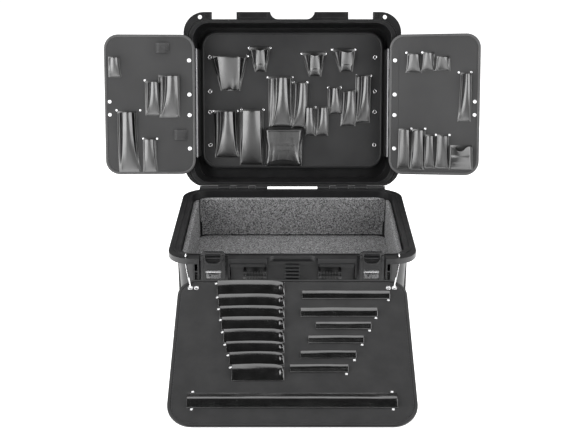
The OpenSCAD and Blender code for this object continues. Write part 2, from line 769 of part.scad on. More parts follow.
module wing_hinge_pins() color(steel) in_lid() {
  for (side = [-1, 1])
    translate([side * wing_axis_x, piano_r0, wing_axis_h]) rotate([-90, 0, 0])
      cylinder(h = piano_l, d = piano_pin_d);
}

// The moving leaf, under the wing board, and the reinforcing band on the board's face above it
wing_edge = piano_d / 2 + 1;
band_w = 16;
band_t = 0.6;
module wing_leaf() {
  difference() {
    union() {
      piano_barrels(1);
      translate([wing_edge, piano_r0, -sheet_t + board_n]) cube([leaf_w - wing_edge, piano_l, sheet_t]);
      for (i = [1:2:piano_n - 1])
        translate([0, piano_r0 + i * piano_pitch + knuckle_gap / 2, -sheet_t + board_n])
          cube([leaf_w / 2, piano_pitch - knuckle_gap, sheet_t]);
    }
    piano_bore();
    for (r = wing_rivet_r) translate([wing_rivet_s, r, -5]) cylinder(h = 10, d = rivet_bore_d);
  }
}

// A wing board with the reinforcing band along its hinge side
wing_corner = 34;
module on_board(side) {
  $lay = [wing_w / drawn_wing[0], (wing_r0 + wing_l) / drawn_wing[1]];
  in_wing(side) translate([0, 0, board_n + board_t]) children();
}

module wing_board(side) {
  mid = (wing_edge + wing_w) / 2;
  in_wing(side) difference() {
    translate([mid, 0, board_n]) {
      board(wing_w - wing_edge, wing_r0, wing_r0 + wing_l, wing_corner, wing_corner);
      translate([wing_edge + binding_w + 0.5 - mid, piano_r0 - 4, 0])
        cube([band_w, piano_l + 8, board_t + band_t]);
    }
    for (r = wing_rivet_r) translate([wing_rivet_s, r, -1]) cylinder(h = board_t + 6, d = rivet_bore_d);
  }
}

module wing_binding(side) {
  in_wing(side) translate([(wing_edge + wing_w) / 2, 0, board_n])
    binding(wing_w - wing_edge, wing_r0, wing_r0 + wing_l, wing_corner, wing_corner);
}

module left_wing_board() color(vinyl) wing_board(-1);
module right_wing_board() color(vinyl) wing_board(1);
module left_wing_binding() color(black) wing_binding(-1);
module right_wing_binding() color(black) wing_binding(1);
module left_wing_leaf() color([0.75, 0.75, 0.77]) in_wing(-1) wing_leaf();
module right_wing_leaf() color([0.75, 0.75, 0.77]) in_wing(1) wing_leaf();

// Places in a wing's frame: x outward from its axis, y above the lid hinge
left_places = [
  [194, 271, 20, 26, 44, 13, 0], [103.5, 179, 28, 33, 79, 16, 2], [64, 174, 40, 44, 98, 20, 4],
  [160, 43, 46, 54, 144, 22, 3], [111, 43, 27, 31, 76, 16, 1]];
right_top_places = [
  [64, 280, 32, 36, 43, 16, -1], [98, 284, 24, 28, 42, 15, 1], [131.5, 284, 27, 32, 31, 15, 2]];
right_long_places = [[183, 166, 24, 27, 110, 16, 0]];
right_lower_places = [
  [40.5, 52, 28, 27, 92, 17, 1], [71.5, 49, 28, 31, 94, 17, 3], [102, 53, 22, 26, 76, 14, 0],
  [132, 53, 24, 30, 76, 14, 1]];
holster_place = [177, 51, 50, 52, 52, 22, 0];

module left_wing_pouches() color(leather) on_board(-1) for (p = left_places) pouch(p);
module right_top_pouches() color(leather) on_board(1) for (p = right_top_places) pouch(p);
module right_long_pouch() color(leather) on_board(1) for (p = right_long_places) pouch(p);
module right_lower_pouches() color(leather) on_board(1) for (p = right_lower_places) pouch(p);

// The holster has a thumb scoop cut in its mouth
module right_holster() color(leather) on_board(1) difference() {
  pouch(holster_place);
  p = laid(holster_place);
  translate([p[0] - 2, p[1] + p[4], 5]) cylinder(h = 40, d = 22);
}

// Webbing loops: low straps with their two ends on the board
web_rise = 9;
web_t = 2;
module webbing_loop(x, y, w, h) {
  translate([x * $lay[0], y * $lay[1], 0]) difference() {
    cube([w, h, web_rise]);
    translate([web_t, -1, -1]) cube([w - 2 * web_t, h + 2, web_rise - web_t + 1]);
  }
}

module left_wing_webbing() color(black) on_board(-1) {
  webbing_loop(69, 326, 22, 23);
  webbing_loop(28, 119, 22, 24);
}

// Rivets of a wing: hinge band, free edge and pouch corners
edge_rivet_r = [179, 210];
edge_rivet_in = 12;
module wing_rivets(side) on_board(side) {
  for (r = wing_rivet_r)
    translate([wing_rivet_s, r, band_t]) rivet(side_rivet_d, rivet_shank_d, board_t + band_t + sheet_t);
  for (r = edge_rivet_r) translate([wing_w - edge_rivet_in, r, 0]) rivet(8, rivet_shank_d, 0);
}

module left_wing_rivets() color(steel) {
  wing_rivets(-1);
  on_board(-1) {
    pouch_rivets([left_places[1]], [1]);
    pouch_rivets([left_places[3], left_places[4]]);
  }
}

module right_wing_rivets() color(steel) {
  wing_rivets(1);
  on_board(1) pouch_rivets(
    [right_top_places[0], right_long_places[0], right_lower_places[1], right_lower_places[3]]);
}

// Latch, in a frame with its pivot at the origin, x across and z up
latch_plate_t = 4;
latch_cheek_t = 5;
latch_open = 32;
latch_open_r = 10;
latch_open_low = 25;
latch_open_top = 4.5;
latch_rim = 3.4;
bridge_z = 40;
module in_latch(side) translate([side * latch_x, hinge_y - latch_y, latch_pivot_z]) children();

module latch_body() {
  difference() {
    union() {
      translate([0, latch_plate_t - latch_t / 2, 0]) rotate([90, 0, 0]) linear_extrude(latch_plate_t)
        latch_outline();
      translate([0, 0.5 - latch_t / 2, 0]) rotate([90, 0, 0]) linear_extrude(2) difference() {
        latch_hole(latch_rim);
        latch_hole(0);
      }
      translate([-latch_w / 2, 0, 0]) rotate([0, 90, 0]) cylinder(h = latch_w, d = latch_t);
      for (side = [-1, 1])
        translate([side > 0 ? latch_w / 2 - latch_cheek_t : -latch_w / 2, -latch_t / 2 - 2, 4])
          cube([latch_cheek_t, latch_t + 2, latch_l - 12]);
      translate([1 - latch_w / 2, 1.5, bridge_z + 2]) cube([latch_w - 2, 4, 6]);
      translate([1 - latch_w / 2, 0.5, latch_l - 18.5]) cube([latch_w - 2, 3, 3]);
    }
    translate([-latch_w / 2 - 1, 0, 0]) rotate([0, 90, 0])
      cylinder(h = latch_w + 2, d = latch_pin_d + 2 * pin_fit);
    translate([-latch_w / 2 + 9, -latch_t, 7]) cube([latch_w - 18, 3 * latch_t, bridge_z - 9]);
    release_bores();
  }
}

// Front outline of a latch, and its D-shaped opening grown by g all round
module latch_outline() {
  difference() {
    rounded(latch_w, -2, latch_l, 3, 8);
    latch_hole(0);
  }
}

module latch_hole(g) {
  w = latch_open / 2 + g;
  r = latch_open_r + g;
  low = latch_l - latch_open_low - g;
  top = latch_l - latch_open_top + min(g, 2.5);
  translate([-w, low + r]) square([2 * w, top - low - r]);
  translate([r - w, low]) square([2 * (w - r), r + 1]);
  for (side = [-1, 1]) translate([side * (w - r), low + r]) circle(r);
}

release_z = bridge_z - 8;
module release_bores() {
  translate([-latch_w / 2 - 1, 0, release_z]) rotate([0, 90, 0])
    cylinder(h = latch_w + 2, d = 2 + 2 * pin_fit);
}

// The silver release: a folded plate that turns on its own small pin
release_w = latch_w - 19;
module release(side) {
  in_latch(side) translate([0, 0, release_z]) difference() {
    union() {
      translate([-release_w / 2, 0, 0]) rotate([0, 90, 0]) cylinder(h = release_w, d = 5);
      rotate([-release_tilt, 0, 0]) {
        translate([-release_w / 2 + 0.5, -2.1, -14]) cube([release_w - 1, 1.8, 14]);
        translate([-release_w / 2 + 4, -4.5, -14]) cube([release_w - 8, 3, 3]);
      }
    }
    translate([-release_w / 2 - 1, 0, 0]) rotate([0, 90, 0])
      cylinder(h = release_w + 2, d = 2 + 2 * pin_fit);
    rotate([-release_tilt, 0, 0]) {
      translate([-release_w / 2 + 4, -4, -6]) cube([release_w - 8, 5, 2]);
      translate([-release_w / 2 + 7, -4, -10.5]) cube([4, 5, 3]);
    }
  }
}

module left_latch() color(moulded) in_latch(-1) latch_body();
module right_latch() color(moulded) in_latch(1) latch_body();
module left_release() color(steel) release(-1);
module right_release() color(steel) release(1);
module release_pin(side) {
  in_latch(side) translate([-latch_w / 2, 0, release_z]) rotate([0, 90, 0]) cylinder(h = latch_w, d = 2);
}

module left_release_pin() color(steel) release_pin(-1);
module right_release_pin() color(steel) release_pin(1);

// Handle, folded down: finned hubs, arms and a grip
hub_fins = 7;
fin_t = 2.4;
module handle() color(black) translate([0, hinge_y - handle_y, handle_z]) difference() {
  union() {
    for (side = [-1, 1]) translate([side * handle_x, 0, 0]) {
      translate([-hub_w / 2, 0, 0]) rotate([0, 90, 0]) cylinder(h = hub_w, d = hub_d - 6.5);
      for (i = [0:hub_fins - 1])
        translate([-hub_w / 2 + i * (hub_w - fin_t) / (hub_fins - 1), 0, 0]) rotate([0, 90, 0])
          cylinder(h = fin_t, d = hub_d);
      translate([-9, -4, -handle_l]) cube([18, 8, handle_l]);
    }
    translate([-handle_x - 9, 0, -handle_l]) rotate([0, 90, 0]) cylinder(h = 2 * handle_x + 18, d = grip_d);
  }
  for (side = [-1, 1])
    translate([side * handle_x - hub_w / 2 - 1, 0, 0]) rotate([0, 90, 0])
      cylinder(h = hub_w + 2, d = handle_pin_d + 2 * pin_fit);
}

// Wire hooks: each passes down through an ear hole, out under the flange and through two grommets
grommet_n = board_t / 2;
grommet_y = front_y - grommet_in * cos(front_tilt) - grommet_n * sin(front_tilt);
grommet_z = front_top - grommet_in * sin(front_tilt) + grommet_n * cos(front_tilt);
hook_y = hinge_y - (hinge_gap + case_d - ear_in) - 2;
hook_z = base_h - flange_t - wire_d / 2 - 0.9;
staple = 6;
bend_swell = 1.03;
hook_rise = 4.5;
hook_tail = 4;
hook_lead = 4.4;
hook_route = [
  [ear_x, hook_y + hook_tail, base_h + hook_rise], [ear_x, hook_y, base_h + hook_rise],
  [ear_x, hook_y, hook_z], [grommet_x + hook_lead, front_y - 3, front_top + 7.5], [grommet_x, grommet_y, grommet_z + staple],
  [grommet_x, grommet_y, grommet_z - staple], [grommet_x - grommet_pitch, grommet_y, grommet_z - staple],
  [grommet_x - grommet_pitch, grommet_y, grommet_z + staple]];

module rod(a, b) {
  v = b - a;
  l = norm(v);
  translate(a) rotate([0, acos(v[2] / l), atan2(v[1], v[0])]) cylinder(h = l, d = wire_d);
}

module hook() {
  for (i = [0:len(hook_route) - 2]) rod(hook_route[i], hook_route[i + 1]);
  for (p = hook_route) translate(p) sphere(d = wire_d * bend_swell);
}

module left_hook() color([0.9, 0.9, 0.9]) mirror([1, 0, 0]) hook();
module right_hook() color([0.9, 0.9, 0.9]) hook();

// Front pallet, with y measured up from its top edge
front_corner_top = 40;
front_corner_low = 48;
module front_outline_board() {
  board(front_w, -front_l, 0, front_corner_low, front_corner_top);
}

module grommet_places() {
  for (side = [-1, 1], k = [0, 1])
    translate([side * (grommet_x - k * grommet_pitch), -grommet_in, 0]) children();
}

grommet_neck = 0.6;
module front_pallet() color(vinyl) in_front() difference() {
  front_outline_board();
  grommet_places() translate([0, 0, -1]) cylinder(h = board_t + 2, d = grommet_d + 2 * grommet_neck + 0.1);
}

module front_binding() color(black) in_front()
  binding(front_w, -front_l, 0, front_corner_low, front_corner_top);

module front_grommets() color(steel) in_front() grommet_places() difference() {
  union() {
    translate([0, 0, -0.5]) cylinder(h = board_t + 1.1, d = grommet_d + 2 * grommet_neck);
    translate([0, 0, board_t]) cylinder(h = 0.6, d = grommet_d + 3);
    translate([0, 0, -0.5]) cylinder(h = 0.5, d = grommet_d + 3);
  }
  translate([0, 0, -1]) cylinder(h = board_t + 3, d = grommet_d);
}

module on_front() {
  $lay = [front_w / drawn_front[0], front_l / drawn_front[1]];
  in_front() translate([0, 0, board_t]) children();
}

// A pouch lying on its side, mouth to the right: x0 and x1, with distances t0 and t1 from the top edge
module side_pouch(x0, x1, t0, t1, depth) {
  kx = $lay[0];
  ky = $lay[1];
  $lay = [ky, kx];
  translate([x0 * kx, -(t0 + t1) / 2 * ky, 0]) rotate([0, 0, -90])
    pouch([0, 0, t1 - t0 - 2, t1 - t0 - 1, x1 - x0, depth, 0]);
}

// The stack of eight: seams between the pouches, counted from the top edge, and their closed ends
roll_seams = [7, 43, 73, 100, 130, 160, 185, 213, 248];
roll_left = [-150, -146, -142, -137, -132, -126, -119, -113];
roll_right = -15;
module roll_pouches() color(leather) on_front() {
  for (i = [0:7]) side_pouch(roll_left[i], roll_right, roll_seams[i] + 0.3, roll_seams[i + 1] - 0.3, 15);
}

// The six slim driver pouches: left end, right end, upper and lower edge
driver_rows = [
  [19, 194, 32, 51], [16, 167, 75, 96], [45, 153, 111, 127], [30, 137, 144, 161], [15, 121, 180, 197],
  [-5, 105, 212, 229]];
module driver_pouches() color(leather) on_front() {
  for (d = driver_rows) side_pouch(d[0], d[1], d[2], d[3], 12);
}

// The long sleeve along the lower edge, open at both ends
level_half = 192;
level_t0 = 275;
level_t1 = 307;
level_depth = 14;
module level_pouch() color(leather) on_front() {
  half = level_half * $lay[0];
  translate([-half, -(level_t0 + level_t1) / 2 * $lay[1], 0]) rotate([90, 0, 90]) linear_extrude(2 * half)
    difference() {
      intersection() {
        pouch_arch((level_t1 - level_t0) / 2, level_depth, 9);
        translate([-40, 0]) square([80, 40]);
      }
      translate([0, -1]) pouch_arch((level_t1 - level_t0) / 2 - leather_t, level_depth - leather_t + 1, 8);
    }
}

module front_rivet(x, t) {
  translate([x * $lay[0], -t * $lay[1], 0]) rivet(small_rivet_d, 2, 0);
}

module front_rivets() color(steel) on_front() {
  for (i = [0:7]) front_rivet(roll_left[i] - 3, roll_seams[i] + 4);
  for (d = driver_rows) front_rivet(d[1] - 4, d[3] + 3);
  for (side = [-1, 1], t = [level_t0 - 3, level_t1 + 3]) front_rivet(side * (level_half - 9), t);
}

base_shell();
foam_floor();
foam_rear();
foam_front();
foam_left();
foam_right();
lid_hinge_pins();
latch_pins();
handle_pins();
lid_shell();
lid_seal();
centre_pallet();
centre_binding();
wing_bracket_left();
wing_bracket_right();
wing_hinge_pins();
pallet_rivets();
centre_pouch_rivets();
fan_pouch();
plier_holsters();
double_pouches();
short_pouches();
stepped_pouches();
wide_pouches();
flap_pouch();
left_wing_board();
left_wing_binding();
left_wing_leaf();
left_wing_rivets();
left_wing_pouches();
left_wing_webbing();
right_wing_board();
right_wing_binding();
right_wing_leaf();
right_wing_rivets();
right_top_pouches();
right_long_pouch();
right_lower_pouches();
right_holster();
left_latch();
left_release();
right_latch();
right_release();
left_release_pin();
right_release_pin();
handle();
left_hook();
right_hook();
front_pallet();
front_binding();
front_grommets();
front_rivets();
roll_pouches();
driver_pouches();
level_pouch();
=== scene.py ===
import json
import math
import bmesh
import bpy
from mathutils import Matrix, Vector, noise


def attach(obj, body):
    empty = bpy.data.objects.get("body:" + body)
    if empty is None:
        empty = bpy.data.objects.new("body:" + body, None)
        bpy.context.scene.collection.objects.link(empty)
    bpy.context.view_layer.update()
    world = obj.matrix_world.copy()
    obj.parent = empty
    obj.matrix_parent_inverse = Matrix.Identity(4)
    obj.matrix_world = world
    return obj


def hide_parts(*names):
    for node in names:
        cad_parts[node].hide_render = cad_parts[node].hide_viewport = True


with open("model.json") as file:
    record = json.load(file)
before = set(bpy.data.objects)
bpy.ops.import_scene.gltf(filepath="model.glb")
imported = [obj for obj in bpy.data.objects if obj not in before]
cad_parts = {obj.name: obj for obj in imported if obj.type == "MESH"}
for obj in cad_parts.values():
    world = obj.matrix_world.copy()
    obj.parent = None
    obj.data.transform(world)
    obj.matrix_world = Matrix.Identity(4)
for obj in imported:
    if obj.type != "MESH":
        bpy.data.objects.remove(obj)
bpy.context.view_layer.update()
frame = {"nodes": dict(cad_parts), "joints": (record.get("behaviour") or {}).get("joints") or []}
scene = bpy.context.scene
nodes = frame["nodes"]
joints = {j["name"]: j for j in frame["joints"]}
mm = 0.001


def addObject(name, data):
    item = bpy.data.objects.new(name, data)
    scene.collection.objects.link(item)
    return item


# Camera
cameraView = {"place": (0.0, -2.2248, 1.0536), "pitchDown": 21.7, "lens": 66.29, "shiftX": -0.0041}
camera = addObject("camera", bpy.data.cameras.new("camera"))
camera.data.lens, camera.data.shift_x = cameraView["lens"], cameraView["shiftX"]
camera.location = cameraView["place"]
camera.rotation_euler = (math.radians(90 - cameraView["pitchDown"]), 0, 0)
scene.camera = camera
print("camera made")


# Local frames: x to the right as seen, y up the board, z out of its face
boards = {
    "face": 4.0, "centreDrop": 50.0, "wingFace": 4.8, "wingAxisX": 230.0, "wingAxisH": 4.0,
    "leftToe": 3.0, "rightToe": -15.0, "frontTop": 143.0, "frontLength": 346.0, "frontY": -269.0}
frontTilt = math.asin(boards["frontTop"] / boards["frontLength"])
right, up = Vector((1, 0, 0)), Vector(joints["right_wing_fold"]["axis"])
lidPlace = Matrix((right, up, right.cross(up))).transposed().to_4x4()
lidPlace.translation = joints["lid_hinge"]["pos_m"]


def shift(x, y, z):
    return Matrix.Translation((x * mm, y * mm, z * mm))


def wingPlace(side, toe):
    axis = shift(side * boards["wingAxisX"], 0, boards["wingAxisH"])
    return lidPlace @ axis @ Matrix.Rotation(math.radians(toe), 4, "Y") @ shift(0, 0, boards["wingFace"])


centreFace = lidPlace @ shift(0, 0, -boards["centreDrop"])
leftFace, rightFace = wingPlace(-1, boards["leftToe"]), wingPlace(1, boards["rightToe"])
frontEdge = shift(0, boards["frontY"], boards["frontTop"]) @ Matrix.Rotation(frontTilt, 4, "X")
frontFace = frontEdge @ shift(0, 0, boards["face"])


def mix(a, b, t):
    return a + (b - a) * t


def smooth(t):
    t = min(1.0, max(0.0, t))
    return t * t * (3 - 2 * t)


# Node helpers: an input takes a plain value or another node's output
def fill(tree, node, sockets):
    for key, value in sockets.items():
        if isinstance(value, bpy.types.NodeSocket):
            tree.links.new(value, node.inputs[key])
        else:
            node.inputs[key].default_value = value


def addNode(tree, kind, sockets=None, **settings):
    node = tree.nodes.new(kind)
    for key, value in settings.items():
        setattr(node, key, value)
    fill(tree, node, sockets or {})
    return node


def mathNode(tree, operation, a, b=None, clamp=False):
    sockets = {0: a} if b is None else {0: a, 1: b}
    return addNode(tree, "ShaderNodeMath", sockets, operation=operation, use_clamp=clamp).outputs[0]


def product(tree, a, b):
    return mathNode(tree, "MULTIPLY", a, b)


def noiseNode(tree, place, scale, detail=3.0, roughness=0.5):
    return addNode(tree, "ShaderNodeTexNoise", {
        "Vector": place, "Scale": scale, "Detail": detail, "Roughness": roughness}).outputs["Fac"]


def rampNode(tree, value, low, high, outLow=0.0, outHigh=1.0):
    return addNode(tree, "ShaderNodeMapRange", {
        "Value": value, "From Min": low, "From Max": high, "To Min": outLow, "To Max": outHigh},
        clamp=True).outputs["Result"]


# Shader groups: each takes a place and named values
def shaderGroup(name, values, results):
    group = bpy.data.node_groups.new(name, "ShaderNodeTree")
    for side, labels in (("INPUT", ("Place", *values)), ("OUTPUT", results)):
        for label in labels:
            kind = "NodeSocketVector" if label in ("Place", "Normal") else "NodeSocketFloat"
            group.interface.new_socket(name=label, in_out=side, socket_type=kind)
    return group, addNode(group, "NodeGroupInput").outputs, addNode(group, "NodeGroupOutput")


# Pebbled skin: small rounded cells with a slower unevenness under them
def buildGrainGroup():
    group, given, out = shaderGroup("skinGrain", ("Cells", "Waves"), ("Height", "Mask"))
    cells = addNode(group, "ShaderNodeTexVoronoi", {
        "Vector": given["Place"], "Scale": given["Cells"], "Smoothness": 0.6}, feature="SMOOTH_F1")
    waves = noiseNode(group, given["Place"], given["Waves"], 4.0, 0.55)
    pebbles = product(group, cells.outputs["Distance"], -0.6)
    height = mathNode(group, "ADD", pebbles, product(group, waves, 0.7))
    fill(group, out, {"Height": height, "Mask": waves})
    return group


# A pale mask on rounded-over edges, broken up by noise: partly worn edges, partly a painted highlight along
# them
def buildWearAndHighlightGroup():
    group, given, out = shaderGroup("edgeWearAndHighlight", ("Radius", "Amount"), ("Mask", "Normal"))
    rounded = addNode(group, "ShaderNodeBevel", {"Radius": given["Radius"]}, samples=4).outputs["Normal"]
    flat = addNode(group, "ShaderNodeNewGeometry").outputs["Normal"]
    dot = addNode(group, "ShaderNodeVectorMath", {0: rounded, 1: flat}, operation="DOT_PRODUCT")
    edge = rampNode(group, dot.outputs["Value"], 0.97, 0.8)
    speckle = rampNode(group, noiseNode(group, given["Place"], 90.0), 0.35, 0.75, 0.25, 1.0)
    mask = product(group, product(group, edge, speckle), given["Amount"])
    fill(group, out, {"Mask": mask, "Normal": rounded})
    return group


# Thin dust that settles on faces turned up
def buildDustGroup():
    group, given, out = shaderGroup("dustVeil", ("Amount",), ("Mask",))
    normal = addNode(group, "ShaderNodeNewGeometry").outputs["Normal"]
    facing = rampNode(group, addNode(group, "ShaderNodeSeparateXYZ", {0: normal}).outputs["Z"], 0.3, 1.0)
    cloud = rampNode(group, noiseNode(group, given["Place"], 24.0, 5.0, 0.6), 0.4, 0.8)
    fill(group, out, {"Mask": product(group, product(group, facing, cloud), given["Amount"])})
    return group


# Two crossing sets of threads, for tape and for the pressed vinyl cloth
def buildWeaveGroup():
    group, given, out = shaderGroup("weave", ("Threads",), ("Height",))
    scaled = addNode(group, "ShaderNodeVectorMath", {0: given["Place"], "Scale": given["Threads"]},
                     operation="SCALE")
    split = addNode(group, "ShaderNodeSeparateXYZ", {0: scaled.outputs[0]})
    warp, weft = [mathNode(group, "ABSOLUTE", mathNode(group, "SINE", split.outputs[axis])) for axis in "XZ"]
    fill(group, out, {"Height": product(group, warp, weft)})
    return group


grainGroup, wearAndHighlightGroup = buildGrainGroup(), buildWearAndHighlightGroup()
dustGroup, weaveGroup = buildDustGroup(), buildWeaveGroup()


# Materials
def startMaterial(name, values):
    material = bpy.data.materials.new(name)
    material.use_nodes = True
    tree = material.node_tree
    shader = tree.nodes["Principled BSDF"]
    fill(tree, shader, values)
    return material, tree, shader, addNode(tree, "ShaderNodeTexCoord").outputs["Object"]


def useGroup(tree, group, place, **values):
    return addNode(tree, "ShaderNodeGroup", {"Place": place, **values}, node_tree=group).outputs


def mixColour(tree, fac, *pair):
    first, second = [(*value, 1) if isinstance(value, tuple) else value for value in pair]
    return addNode(tree, "ShaderNodeMix", {"Factor": fac, 6: first, 7: second}, data_type="RGBA").outputs[2]


def bumpNode(tree, height, strength, distance, normal=None):
    sockets = {"Height": height, "Strength": strength, "Distance": distance}
    if normal is not None:
        sockets["Normal"] = normal
    return addNode(tree, "ShaderNodeBump", sockets).outputs["Normal"]


# Roughness that follows a mask, from the given value up by the spread
def unevenRough(tree, mask, rough, spread):
    return rampNode(tree, mask, 0.3, 0.7, rough, rough + spread)


# A neutral tone with a little blue in it
def grey(tone, blue=0.0005):
    return tone, tone, tone + blue


# What the moulded, pressed and rubber skins share: grain and a veil of dust
def startSkin(name, p):
    material, tree, shader, place = startMaterial(name, {"Specular IOR Level": p["specular"]})
    grain = useGroup(tree, grainGroup, place, Cells=p["grain"], Waves=p["waves"])
    return material, tree, shader, place, grain, useGroup(tree, dustGroup, place, Amount=p["dusting"])["Mask"]


plasticLook = {"dark": grey(0.007), "wornAndLit": grey(0.06, 0.002), "dust": (0.14, 0.135, 0.13), "specular": 0.42,
               "wearAndHighlight": 0.45, "edgeRadius": 0.0011, "grain": 1500.0, "waves": 40.0, "grainDepth": 0.00006,
               "dusting": 0.07}


def plasticMaterial(name, rough, grainStrength):
    p = plasticLook
    material, tree, shader, place, grain, dust = startSkin(name, p)
    wearAndHighlight = useGroup(tree, wearAndHighlightGroup, place, Radius=p["edgeRadius"], Amount=p["wearAndHighlight"])
    # edges are painted pale, partly as wear and partly as a painted highlight
    wornAndLit = mixColour(tree, wearAndHighlight["Mask"], p["dark"], p["wornAndLit"])
    fill(tree, shader, {
        "Base Color": mixColour(tree, dust, wornAndLit, p["dust"]),
        "Roughness": unevenRough(tree, grain["Mask"], rough - 0.05, 0.12),
        "Normal": bumpNode(tree, grain["Height"], grainStrength, p["grainDepth"], wearAndHighlight["Normal"])})
    return material


pouchLook = {"dark": grey(0.0015, 0.0001), "sheen": grey(0.006, 0.0002), "creases": 55.0, "pores": 1800.0,
             "rough": 0.3, "coat": 0.4, "coatRough": 0.25}
# The front pallet's leather copies the pouch leather with darker tones as painted shade; its lower roughness
# and coat are its own
shadedRollLook = dict(pouchLook, dark=grey(0.001, 0), sheen=grey(0.004, 0), rough=0.2, coat=0.3, coatRough=0.12)


def leatherMaterial(name, look):
    material, tree, shader, place = startMaterial(
        name, {"Specular IOR Level": 1.0, "Coat Roughness": look["coatRough"]})
    grain = useGroup(tree, grainGroup, place, Cells=look["pores"], Waves=look["creases"])
    patches = rampNode(tree, noiseNode(tree, place, 34.0, 4.0, 0.6), 0.35, 0.7)
    fine = bumpNode(tree, grain["Height"], 0.2, 0.00008)
    fill(tree, shader, {
        "Base Color": mixColour(tree, patches, look["dark"], look["sheen"]),
        "Roughness": rampNode(tree, grain["Mask"], 0.3, 0.75, look["rough"], look["rough"] + 0.08),
        "Coat Weight": rampNode(tree, patches, 0, 1, look["coat"], look["coat"] + 0.3),
        "Normal": bumpNode(tree, noiseNode(tree, place, 45.0, 2.0, 0.4), 0.06, 0.0005, fine)})
    return material


vinylLook = {"specular": 0.25, "grain": 1300.0, "waves": 9.0, "threads": 1900.0, "dusting": 0.1,
             "dust": grey(0.12, 0), "spread": 0.1}


def vinylMaterial(name, dark, pale, rough, pressed):
    p = vinylLook
    material, tree, shader, place, grain, dust = startSkin(name, p)
    weave = useGroup(tree, weaveGroup, place, Threads=p["threads"])["Height"]
    tone = mixColour(tree, rampNode(tree, grain["Mask"], 0.35, 0.7), grey(dark), grey(pale))
    cloth = bumpNode(tree, weave, pressed, 0.00005)
    fill(tree, shader, {
        "Base Color": mixColour(tree, dust, tone, p["dust"]),
        "Roughness": unevenRough(tree, grain["Mask"], rough, p["spread"]),
        "Normal": bumpNode(tree, grain["Height"], 0.3, 0.00006, cloth)})
    return material


foamLook = {"deep": grey(0.03, 0.001), "pale": grey(0.4, 0.005), "cells": 480.0, "clumps": 380.0}


def foamMaterial(p):
    material, tree, shader, place = startMaterial("greyFoam", {"Roughness": 0.95, "Specular IOR Level": 0.1})
    cells = addNode(tree, "ShaderNodeTexVoronoi", {"Vector": place, "Scale": p["cells"]})
    speckle = rampNode(tree, noiseNode(tree, place, p["clumps"], 3.0, 0.7), 0.36, 0.64)
    # the deep tone marks the random dark speckle and also painted shade in the middle of each cell, standing
    # in for the shadowed pores
    pitShade = rampNode(tree, cells.outputs["Distance"], 0.1, 0.55)
    blend = product(tree, speckle, mathNode(tree, "ADD", pitShade, 0.35, True))
    fill(tree, shader, {"Base Color": mixColour(tree, blend, p["deep"], p["pale"]),
                        "Normal": bumpNode(tree, blend, 0.9, 0.0012)})
    return material


def metalMaterial(name, colour, rough, spread=0.08, brush=(300, 300, 300)):
    material, tree, shader, place = startMaterial(name, {"Base Color": (*colour, 1), "Metallic": 1.0})
    stretched = addNode(tree, "ShaderNodeMapping", {"Vector": place, "Scale": brush})
    brushed = noiseNode(tree, stretched.outputs[0], 1.0, 3.0, 0.6)
    fill(tree, shader, {"Roughness": unevenRough(tree, brushed, rough, spread),
                        "Normal": bumpNode(tree, brushed, 0.12, 0.00004)})
    return material


# Painted hinge sheet that is bare and brushed only on its round barrel
hingeLook = {"half": 2.5, "blend": 0.3, "paint": grey(0.012), "metal": grey(0.22, 0.005), "rough": 0.4,
             "spread": 0.12, "brush": 700.0}


def hingeMaterial(p):
    material, tree, shader, place = startMaterial("hingeSheet", {"Specular IOR Level": 0.4})
    side = mathNode(tree, "ABSOLUTE", addNode(tree, "ShaderNodeSeparateXYZ", {0: place}).outputs["X"])
    across = mathNode(tree, "ABSOLUTE", mathNode(tree, "SUBTRACT", side, boards["wingAxisX"] * mm))
    bare = rampNode(tree, across, p["half"] * mm, (p["half"] + p["blend"]) * mm, 1.0, 0.0)
    brushed = noiseNode(tree, place, p["brush"], 3.0, 0.6)
    fill(tree, shader, {"Metallic": bare, "Base Color": mixColour(tree, bare, p["paint"], p["metal"]),
                        "Roughness": unevenRough(tree, brushed, p["rough"], p["spread"]),
                        "Normal": bumpNode(tree, brushed, 0.15, 0.00005)})
    return material


rubberLook = {"specular": 0.4, "grain": 1100.0, "waves": 70.0, "dusting": 0.18, "dark": grey(0.011, 0),
              "dust": grey(0.1, 0), "spread": 0.12}


def rubberMaterial(name, rough):
    p = rubberLook
    material, tree, shader, place, grain, dust = startSkin(name, p)
    fill(tree, shader, {"Base Color": mixColour(tree, dust, p["dark"], p["dust"]),
                        "Roughness": unevenRough(tree, grain["Mask"], rough, p["spread"]),
                        "Normal": bumpNode(tree, grain["Height"], 0.4, 0.00008)})
    return material


def clothMaterial(name, colour, threads):
    material, tree, shader, place = startMaterial(name, {"Roughness": 0.85, "Sheen Weight": 0.25})
    weave = useGroup(tree, weaveGroup, place, Threads=threads)["Height"]
    fill(tree, shader, {"Base Color": mixColour(tree, weave, tuple(c * 0.5 for c in colour), colour),
                        "Normal": bumpNode(tree, weave, 0.8, 0.0003)})
    return material


